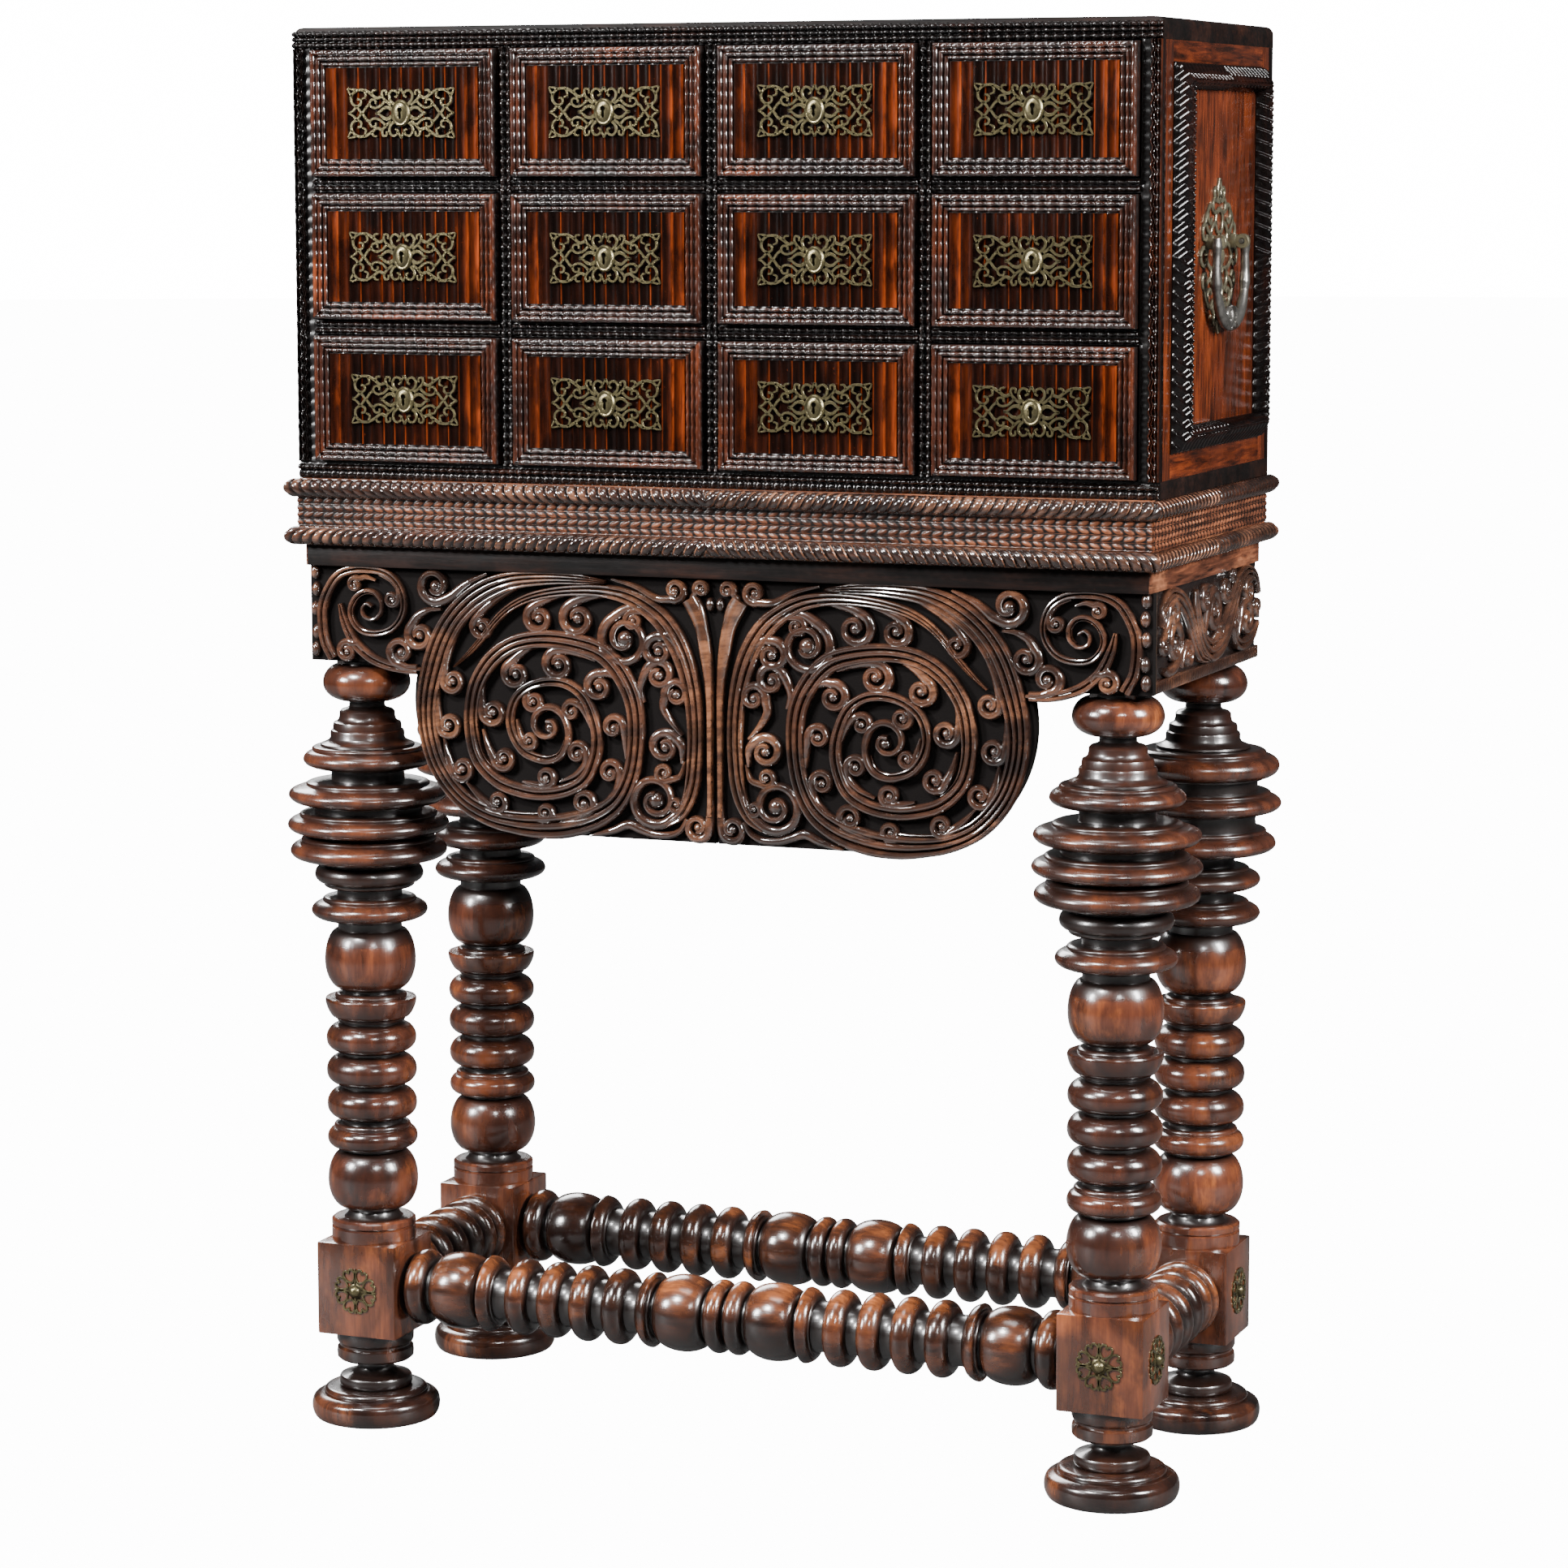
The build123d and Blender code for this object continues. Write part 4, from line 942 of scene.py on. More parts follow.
# The bands of one quarter of a lock's pierced plate: (points from the middle, first width, last width).
PLATE_BANDS = [
    ([(9.5, 3), (14, 5.5), (19, 5), (24, 1.2), (28, 0)], 5, 2.4),
    ([(8, 9), (12, 13), (13, 18.5), (9.5, 22.5), (5, 21.5), (3.6, 17.5), (6.5, 15.8)], 3.6, 2.6),
    ([(11, 8), (17, 12.5), (21, 18), (20, 22.5), (16.5, 22), (16.2, 18)], 3.6, 2.6),
    ([(17, 12.5), (24, 6.5), (31, 5.5), (35, 9), (33, 13.2), (28.5, 12.6), (28.2, 9.3)], 3.4, 2.6),
    ([(21, 17), (27, 15), (33, 19), (41, 23), (50, 22.5), (55.5, 17), (55, 10.5), (50, 7), (45, 9),
      (45.2, 13.2), (48.8, 14.2)], 3.8, 2.8),
    ([(33, 19), (30.5, 22.8), (27, 22.8)], 3.2, 2.2),
    ([(35, 9), (39, 5.8), (41.5, 2.5), (43.5, 0)], 3.4, 3),
    ([(50, 7), (47, 3.6), (44.5, 0)], 3.2, 3),
    ([(50, 7), (53, 3.2), (56, 1.2), (59, 0)], 3.4, 2),
    ([(55, 17), (58, 21), (59.5, 24.3)], 3.6, 1.4),
    ([(50, 22.5), (55, 24.2), (59.3, 24.6)], 3.4, 1.4),
    ([(0, 24.6), (1.6, 21.5), (3.6, 18.5)], 2.8, 2.6),
    ([(41, 23), (39.5, 16.5), (43.5, 14.4)], 3, 2),
]
# The boss in its middle, from the plate up over a rounded rim: (half width, half height, rise, relief).
BOSS_RINGS = [
    (10.6, 13.4, 0.0, 0.2), (10.8, 13.6, 1.6, 0.5), (10.2, 13.0, 3.2, 0.8), (9.0, 11.8, 4.3, 1.0),
    (7.9, 10.7, 4.1, 0.9), (7.2, 10.0, 3.5, 0.4), (5.2, 8.2, 4.4, 0.7), (3.4, 6.8, 4.7, 0.8),
]
# From the boss down into the keyhole: (share of its width, share of its height, rise, relief).
KEYHOLE_RINGS = [(1.12, 1.06, 4.7, 0.8), (1.0, 1.0, 4.4, 0.5), (1.0, 1.0, -1.4, 0.0)]


def make_plate():
    """The shape of a lock's pierced plate with its oval boss and keyhole."""
    shape = Shape(grain=(1, 0, 0))
    at = on_front(PLATE_FACE)
    for points, first, last in PLATE_BANDS:
        line = smooth_line(points, 0.9)
        width = np.linspace(first, last, len(line)) * PLATE_SHARE
        for corner in CORNERS:
            ribbon(shape, line * corner, width, PLATE_RISE, at, FLAT_BAR)
    turns = around(48)
    hole_x, hole_z = keyhole(turns)
    a = [r[0] * np.cos(turns) for r in BOSS_RINGS] + [hole_x * r[0] for r in KEYHOLE_RINGS]
    b = [r[1] * np.sin(turns) for r in BOSS_RINGS] + [hole_z * r[1] for r in KEYHOLE_RINGS]
    rise, relief = (np.repeat([r[k] for r in BOSS_RINGS + KEYHOLE_RINGS], len(turns)) for k in (2, 3))
    places = at(np.array(a), np.array(b), rise.reshape(len(a), -1))
    shape.add(places, bar_faces(len(a), len(turns)), relief)
    return shape


def keyhole(turns):
    """The outline of a keyhole: a round head over a slot that widens downwards."""
    x, z = 2.5 * np.cos(turns), 3.0 + 2.7 * np.sin(turns)
    slot = np.sin(turns) < -0.35
    drop = np.clip((-np.sin(turns) - 0.35) / 0.65, 0, 1)
    x = np.where(slot, np.sign(np.cos(turns)) * np.minimum(np.abs(x) + 0.001, 1.2 + 0.6 * drop), x)
    return x, np.where(slot, 2.0 - 8.2 * drop**0.7, z)


# The parts of a drawer: name, function that shapes it, material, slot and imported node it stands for.
DRAWER_PARTS = (
    ("front", make_drawer_front, front_wood, "dark_wood", "drawer"),
    ("flutes", make_flutes, flute_wood, "dark_wood", None),
    ("box", make_box, inside_wood, "drawer_wood", None),
    ("plate", make_plate, brass, "brass", "lock"),
)


def make_drawers():
    """The twelve drawers, which share the meshes of the first one's parts."""
    meshes = {}
    for row, z in enumerate(ROW_Z, 1):
        for column, x in enumerate(COLUMN_X, 1):
            which = f"r{row}c{column}"
            for part, make, material, slot, node in DRAWER_PARTS:
                name = f"{part}_{which}"
                how = ([f"{node}_{which}"] if node else (), f"drawer_{which}", slot, (x, 0, z))
                if part in meshes:
                    place(name, meshes[part], *how)
                else:
                    meshes[part] = make().piece(name, material, *how).data


make_drawers()


# ---------------------------------------------------------------- ripple mouldings of the cabinet


EDGE_PITCH, EDGE_DEPTH, EDGE_SWAY = 9.6, 2.8, 0.3


def edge_strip(length, ribs):
    """The rise of a rippled strip of round ribs that swell and sway in turn."""
    pitch = even_pitch(length, EDGE_PITCH)

    def rise(s, u):
        u = u + EDGE_SWAY * np.sin(tau * s / pitch)
        return 1.2 + ridges(u, ribs) - EDGE_DEPTH * wave_of(s, pitch) * (ridges(u, ribs) > 0.6)

    return rise


def stile_strip(length):
    """The rise of a stile's strip: cross ribs beside the drawers, two swaying lines, beads and an edge."""
    pitch = even_pitch(length, 11.6)

    def rise(s, u):
        wave = wave_of(s, pitch)
        cross = 1.0 + 0.8 * (1 - wave) * np.clip((9.2 - u) / 1.2, 0, 1) * np.clip((u - 0.6) / 2.4, 0, 1)
        lines = ridges(u - 0.9 * np.sin(tau * s / pitch), [(11.2, 1.3, 4.6), (14.0, 1.1, 4.2)])
        beads = ridges(u, [(17.0, 1.6, 4.8)]) * (1 - 0.55 * wave)
        edge = ridges(u, [(20.3, 1.15, 5.6)]) * (1 - 0.12 * wave)
        return np.maximum(cross, 1.2 + np.maximum(lines, beads + edge))

    return rise


# The round ridges of the strips: (middle, half width, rise).
UPRIGHT_RIBS = [(3.9, 2.9, 5.6), (11.1, 2.9, 5.6)]
SHELF_RIBS = [(3.6, 2.7, 5.4), (10.4, 2.7, 5.4)]
TOP_RIBS = [(3.4, 2.8, 5.6), (9.4, 2.4, 5.0), (14.6, 2.4, 5.6)]
BOTTOM_RIBS = [(5.8, 2.9, 5.6), (13.0, 4.2, 3.2)]


def make_front_mouldings():
    """The rippled strips on the front edges of the boards between and round the drawers."""
    shape = Shape()
    height, inner = CEILING_Z - FLOOR_Z, HALF_WIDTH - SIDE_BOARD

    def strip(start, end, across, width, rise, step=1.3, columns=25, warm=0.0):
        start, end = ((x, CARCASS_FRONT, z) for x, z in (start, end))
        moulding(shape, start, end, across, (0, -1, 0), width, rise, step, columns, warm=warm)

    for side in (-1, 1):
        shape.turn((0, 0, 1), seed=side)
        foot, head = (side * inner, FLOOR_Z), (side * inner, CEILING_Z)
        # Only the right stile gets the bright tone: painted light, making it lighter than the left stile.
        warm = 0.4 if side == 1 else 0.0
        strip(foot, head, (side, 0, 0), SIDE_BOARD, stile_strip(height), columns=45, warm=warm)
    gap = COLUMN_X[1] - COLUMN_X[0] - OPENING[0]
    for left, right in zip(COLUMN_X, COLUMN_X[1:]):
        shape.turn((0, 0, 1), seed=left)
        x = (left + right) / 2 - gap / 2
        strip((x, FLOOR_Z), (x, CEILING_Z), (1, 0, 0), gap, edge_strip(height, UPRIGHT_RIBS))
    gap = ROW_Z[1] - ROW_Z[0] - OPENING[1]
    for low, high in zip(ROW_Z, ROW_Z[1:]):
        z = (low + high) / 2 - gap / 2
        for x in COLUMN_X:
            shape.turn((1, 0, 0), seed=x + z)
            half = OPENING[0] / 2
            strip((x - half, z), (x + half, z), (0, 0, 1), gap, edge_strip(OPENING[0], SHELF_RIBS))
    for z, way, ribs in ((CEILING_Z, 1, TOP_RIBS), (FLOOR_Z, -1, BOTTOM_RIBS)):
        shape.turn((1, 0, 0), seed=way)
        rise = edge_strip(2 * HALF_WIDTH, ribs)
        strip((-HALF_WIDTH, z), (HALF_WIDTH, z), (0, 0, way), 17.5, rise, 1.2, 27)
    shape.piece("front_mouldings", strip_wood, ["cabinet_front_mouldings"])


make_front_mouldings()


# ---------------------------------------------------------------- carcass and sides

SIDE_FRAME_Y, SIDE_FRAME_Z, SIDE_FRAME_WIDTH, SIDE_FRAME_RISE = 157.0, (1039.0, 1412.0), 25.0, 18.0
VENEER_Y = 181.0
# The slope, crest and inner wall of the side's frame: (place across, rise).
SIDE_SECTION = [
    (0, 1.0), (0.8, 1.4), (2.6, 3.0), (16.2, 13.2), (18.4, 16.0), (19.6, 16.0), (20.8, 14.4), (24.6, 2.0),
    (26, 1.0),
]


def herringbone_frame(length):
    """The rise of the side's frame: a slope of chevrons, a dotted crest and a rippled inner wall."""
    pitch = even_pitch(length, 12.0)

    def rise(s, u):
        near = np.minimum(s, length - s)
        sway = 1.4 * np.sin(tau * (near + 1.3 * (u - 20)) / pitch) * np.clip((u - 19.2) / 1.0, 0, 1)
        base = np.interp(u + sway, *np.transpose(SIDE_SECTION))
        chevron = 3.6 * (1 - wave_of(near - 0.75 * np.abs(u - 10.6), pitch))
        chevron = chevron * np.clip(u / 1.5, 0.2, 1) * np.clip((16.6 - u) / 1.0, 0, 1)
        bead = ridges(u, [(18.0, 1.8, 1.9)]) * (1 - 0.9 * wave_of(near, pitch / 2))
        return np.minimum(base + chevron + bead, SIDE_FRAME_RISE)

    return rise


def make_side(name, side):
    """A side of the cabinet: the board, its veneers, the sunk panel and the herringbone frame round it."""
    shape = Shape(seed=side)
    outer, height, half = HALF_WIDTH, (FLOOR_Z, CEILING_Z), SIDE_FRAME_Y
    low, high = SIDE_FRAME_Z

    def leaf(y, z, grain, seed, skin=1.2, warm=0.0):
        shape.turn(grain, seed)
        plank(shape, (side * (outer - skin), side * outer), y, z, edge=0.3, warm=warm)

    board = (side * (outer - SIDE_BOARD), side * (outer - 1.0))
    plank(shape, board, (CARCASS_FRONT, CARCASS_BACK), height, edge=0.4)
    leaf((-VENEER_Y, -half), height, (0, 0.1, 1), 3, warm=0.25)
    leaf((half, VENEER_Y), height, (0, 0.1, 1), 4, warm=0.1)
    for z in ((FLOOR_Z, low), (high, CEILING_Z)):
        leaf((-half, half), z, (0, 1, 0), 5 + z[0], warm=0.2)
    inset = SIDE_FRAME_WIDTH - 1.0
    leaf((-half + inset, half - inset), (low + inset, high - inset), (0, 0.03, 1), 8, 1.0, warm=0.15)
    shape.piece(f"side_veneer_{name}", veneer_wood, [f"cabinet_side_{name}"])

    edges = Shape(seed=side + 5)
    for y in ((CARCASS_FRONT, -VENEER_Y), (VENEER_Y, CARCASS_BACK)):
        plank(edges, (side * (outer - 1.2), side * outer), y, height, edge=0.3)
    edges.piece(f"side_edges_{name}", frame_wood)

    work = Shape()
    for k, (start, end, way, length) in enumerate(frame_lengths(half, low, high)):
        work.turn((0, 1, 0) if k % 2 == 0 else (0, 0, 1), seed=k + side)
        moulding(
            work, (side * outer, *start), (side * outer, *end), (0, *way), (side, 0, 0), SIDE_FRAME_WIDTH,
            herringbone_frame(length), 1.1, 49, mitre=1,
        )
    work.piece(f"side_frame_work_{name}", frame_wood, [f"side_frame_{name}"])


for side_name, side in SIDES:
    make_side(side_name, side)


# ---------------------------------------------------------------- plinth

ROPE_RADIUS, ROPE_PITCH, ROPE_DROP = 9.5, 11.3, 9.5
BAND_DEPTH, BAND_DROP, BAND_WIDTH, BAND_ROW = 2.4, 19.4, 30.2, 7.2
PLINTH_BOARD = 24.0
ROPE_BACK = (0.3, 18.7)


def rope(shape, start, end, out, radius, pitch, lean):
    """A half-round twisted moulding on an upright face, mitred at its ends, whose twist turns over in the
    middle. A painted highlight line runs along each strand, and its grooves get painted shade."""
    start, end, out = np.array(start, float), np.array(end, float), np.array(out, float)
    length = np.linalg.norm(end - start)
    along, upwards, centre = (end - start) / length, np.array([0, 0, 1.0]), (start + end) / 2
    rows, columns = ceil(length / 0.75) + 1, 19
    angle = np.linspace(-pi / 2, pi / 2, columns)[None, :]
    middle = np.linspace(-0.5, 0.5, rows)[:, None] * length
    turn = np.abs(middle) / pitch + lean * angle / pi
    strand = 2 * (turn % 1.0) - 1
    swell = np.clip(1 - np.abs(strand) ** 2.6, 0, 1) ** 0.7
    reach = radius - 3.4 * (1 - swell)
    rise, up = reach * np.cos(angle), reach * np.sin(angle)
    mitred = middle * (1 + 2 * rise / length)
    top = centre + along * mitred[..., None] + out * rise[..., None] + upwards * up[..., None]
    flat = centre + along * (middle + 0 * up)[..., None] + upwards * up[..., None]
    # A painted highlight: a narrow line on each strand in the bright tone, raised to full relief.
    highlight_line = (np.abs(strand - 0.74) < 0.13).astype(float)
    slab(shape, top, flat, np.maximum(np.clip(swell * 1.6 - 0.62, 0, 1), highlight_line), highlight_line)


def plinth_rows(length):
    """The rise of the plinth's band: four rows of slanting ripples with fine lines between them."""
    pitch = even_pitch(length, 22.8) / 2

    def rise(s, u):
        height = np.full_like(u, 0.6)
        for k, slant in enumerate((1, -1, 1, -1)):
            middle = 4.3 + k * BAND_ROW
            inside = np.clip(1 - np.abs(u - middle) / 3.3, 0, 1)
            hollow = wave_of(s + slant * 0.9 * (u - middle), pitch)
            height = np.maximum(height, inside**0.5 * (2.3 - 1.7 * hollow))
        lines = ridges(u, [(k * BAND_ROW + 0.7, 0.5, 1.7) for k in range(5)])
        return np.maximum(height, lines * (1 - 0.4 * wave_of(s, pitch)))

    return rise


def make_plinth():
    """The plinth's four boards with their herringbone band, and the two ropes that run round it."""
    low, high = PLINTH_Z
    x, y = PLINTH_X - BAND_DEPTH, PLINTH_Y - BAND_DEPTH
    inner_x, inner_y = PLINTH_X - PLINTH_BOARD, PLINTH_Y - PLINTH_BOARD
    boards = Shape()
    for sign in (-1, 1):
        boards.turn((1, 0, 0), seed=sign)
        plank(boards, (-x, x), (sign * inner_y, sign * y), (low, high), edge=0.8)
        boards.turn((0, 1, 0), seed=sign + 3)
        plank(boards, (sign * inner_x, sign * x), (-inner_y, inner_y), (low, high), edge=0.8)
    ropes = Shape(grain=(1, 0, 0))
    corners = [(-x, -y), (x, -y), (x, y), (-x, y)]
    outwards = [(0, -1, 0), (1, 0, 0), (0, 1, 0), (-1, 0, 0)]
    for k, (start, end, out) in enumerate(zip(corners, corners[1:] + corners[:1], outwards)):
        length = hypot(end[0] - start[0], end[1] - start[1])
        grain, lean = ((1, 0, 0), 1.2) if k % 2 == 0 else ((0, 1, 0), 0.8)
        boards.turn(grain, seed=k + 7)
        foot, head, rise = (*start, low + BAND_DROP), (*end, low + BAND_DROP), plinth_rows(length)
        moulding(boards, foot, head, (0, 0, 1), out, BAND_WIDTH, rise, 1.5, 61)
        for j, z, way in ((0, low + ROPE_DROP, 1), (1, high - ROPE_DROP, -1)):
            ropes.turn(grain, seed=k + 4 * j)
            ends = ((a + np.sign(a) * BAND_DEPTH, b + np.sign(b) * BAND_DEPTH, z) for a, b in (start, end))
            rope(ropes, *ends, out, ROPE_RADIUS, ROPE_PITCH, way * lean)
    for z in (low, high - 19.0):
        heights = (z + ROPE_BACK[0], z + ROPE_BACK[1])
        for sign in (-1, 1):
            ropes.turn((1, 0, 0), seed=sign + z)
            plank(ropes, (-PLINTH_X, PLINTH_X), (sign * (y - 0.4), sign * PLINTH_Y), heights, edge=0.3)
            plank(ropes, (sign * (x - 0.4), sign * PLINTH_X), (-y, y), heights, edge=0.3)
    boards.piece("plinth_ripples", plinth_wood, ["plinth_band"])
    ropes.piece("plinth_rope_work", rope_wood, ["plinth_ropes"])


make_plinth()


# ---------------------------------------------------------------- carved aprons

STRAND_SHARE = 0.96


def strands(shape, points, widths, counts, height, at, inner=1, warm=0.0):
    """A reeded band along the line through `points`: round strands side by side. `widths` and `counts`
    change along it, and where the count falls, the strand on the `inner` side runs out."""
    points = np.array(points, float)
    line = smooth_line(points, 1.7)
    run = np.concatenate([[0], np.cumsum(np.linalg.norm(np.diff(points, axis=0), axis=1))])
    share = np.linspace(0, run[-1], len(line))

    def even(values):
        return np.linspace(0, run[-1], len(values))

    width = np.interp(share, run if len(widths) == len(run) else even(widths), widths)
    count = np.interp(share, even(counts), counts)
    normal = normals(line) * inner
    for k in range(ceil(max(counts))):
        low, high = np.minimum(k / count, 1), np.minimum((k + 1) / count, 1)
        whole = (high - low) * count
        there = np.flatnonzero(whole > 0.15)
        there = slice(there[0], there[-1] + 1)
        middle = (low + high) / 2 - 0.5
        crown = height * (1 - 0.3 * np.abs(middle)) * np.clip(0.4 + whole, 0, 1)
        strand = (line + normal * (middle * width)[:, None])[there]
        ribbon(shape, strand, ((high - low) * width * STRAND_SHARE)[there], crown[there], at, warm=warm)


def volute(shape, x, z, radius, start, sense, turns, lead, width, height, at, mirror=1):
    """A band that comes along the points of `lead` and curls round to a round eye at (x, z)."""
    eye = 0.28 * radius + 1.8
    outer = radius * 0.95
    turns = min(turns, 1.2 if radius < 20 else 1.6)
    t = np.linspace(0, 1, max(14, ceil(turns * 26)))
    angle = radians(start) + sense * tau * turns * t
    drop = np.clip((t * turns - 0.25) / (turns - 0.25), 0, 1) ** 1.1
    reach = outer + (0.7 * eye - outer) * drop
    curl = np.stack([x + reach * np.cos(angle), z + reach * np.sin(angle)], -1)
    line = smooth_line([*lead, *curl], 1.3)
    lead_end = np.argmax(np.hypot(line[:, 0] - x, line[:, 1] - z) < outer * 1.03) / len(line)
    share = np.linspace(0, 1, len(line))
    wide = width * np.interp(share, [0, lead_end * 0.5, lead_end, 1], [0.35, 0.75, 1.0, 0.55])
    high = height * np.interp(share, [0, lead_end, 1], [0.7, 0.92, 1.0])
    ribbon(shape, line * (mirror, 1), wide, high, at)
    dome(shape, (mirror * x, z), eye, height * 1.04, at, rings=6, segments=18)


# The left half of the front's carving, about the middle of the apron. Points are (x, z).
SPIRAL = [
    (-118, 900), (-150, 902), (-190, 901.5), (-225, 897), (-256, 884), (-280, 865), (-298, 840),
    (-312, 803), (-318.5, 770), (-317, 738), (-305, 702), (-280, 672), (-250, 656), (-220, 650),
    (-190, 648.5), (-160, 651.5), (-130, 661), (-107, 677), (-93, 702), (-86, 738), (-88, 778),
    (-100, 805), (-121, 827), (-150, 836.5), (-190, 839.5), (-221, 833), (-245, 817), (-262, 792),
    (-268, 768), (-268, 738), (-260, 712), (-239, 692), (-212, 683), (-188, 681.5), (-161, 687),
    (-142, 699), (-132, 719), (-128.5, 741), (-133, 763), (-143, 783), (-160, 794.5), (-180, 797),
    (-202, 791.5), (-218, 779), (-225, 758), (-221, 739), (-210, 724), (-197, 718), (-184, 716),
    (-170, 721), (-162, 735), (-161, 750), (-166, 763), (-177, 770), (-188, 769), (-197, 761),
    (-198, 750), (-190, 741), (-180, 741), (-174, 748), (-177, 756), (-184, 756),
]
SPIRAL_WIDTHS = [
    3, 10, 12, 15, 18, 22, 23, 24, 25, 25, 23, 21, 20, 19, 18.5, 18.5, 19, 21, 24, 25, 24, 22, 19, 17,
    17, 17.5, 19, 20, 20, 19, 18, 17, 16.5, 16.5, 16, 15.5, 15, 15, 14.5, 14.5, 14, 14, 13.5, 13, 12.5,
    12, 11, 10.5, 10, 9.5, 9.5, 9.5, 9.5, 9, 9, 8.5, 8, 7, 6, 5,
]
SPIRAL_COUNTS = [4, 4, 4, 4, 3.6, 3, 3, 3, 3, 2.6, 2, 2, 2, 1.6, 1, 1]
STEM = [
    (-287, 808), (-270, 823), (-254, 840), (-240, 857), (-225, 870), (-205, 880.5), (-180, 887),
    (-150, 890.5), (-120, 890.5), (-95, 886), (-74, 876), (-57, 863), (-44, 846), (-34, 826), (-27, 803),
    (-23, 778), (-21.5, 752), (-22, 725), (-24, 702), (-29, 683), (-38, 667), (-52, 657),
]
STEM_WIDTHS = [1.5, 5, 6.5, 8, 9, 10, 11, 12, 14, 17, 20, 23, 24, 23, 21, 19, 18, 17.5, 17, 15, 11, 6]
CENTRE_STEM = [
    (-27, 886), (-20, 874), (-14, 856), (-9.5, 829), (-6.5, 802), (-5.5, 775), (-5.5, 730), (-5.5, 690),
    (-5.5, 668),
]
CENTRE_STEM_WIDTHS = [20, 20, 15, 14, 10, 8, 7, 6.5, 6.5]
CORNER_RINGS = [
    (-426, 811), (-435, 828), (-438, 852), (-437, 866), (-431, 881), (-420, 896), (-405, 903),
    (-385, 904.5), (-364, 901), (-350, 890), (-344, 873), (-347, 857), (-358, 844), (-375, 838.5),
    (-392, 840.5), (-402, 850), (-405, 862), (-399, 875), (-388, 881.5), (-377, 880), (-370, 871),
    (-371, 860), (-380, 853), (-389, 856), (-391, 864), (-386, 869), (-380, 866),
]
CORNER_WIDTHS = [12, 12, 12, 12, 11, 10, 9, 8, 7.5, 7.5, 7.5, 7, 7, 7, 6, 5, 4]
CORNER_STEM = [
    (-417, 868), (-413, 852), (-407, 838), (-399, 826), (-385, 814.5), (-369, 807.5), (-350, 803.5),
    (-330, 803),
]
LEAF = [
    (-137, 641.5), (-112, 648), (-95, 654.5), (-82, 650.5), (-68, 646.5), (-50, 646.5), (-38, 652),
    (-31, 664),
]
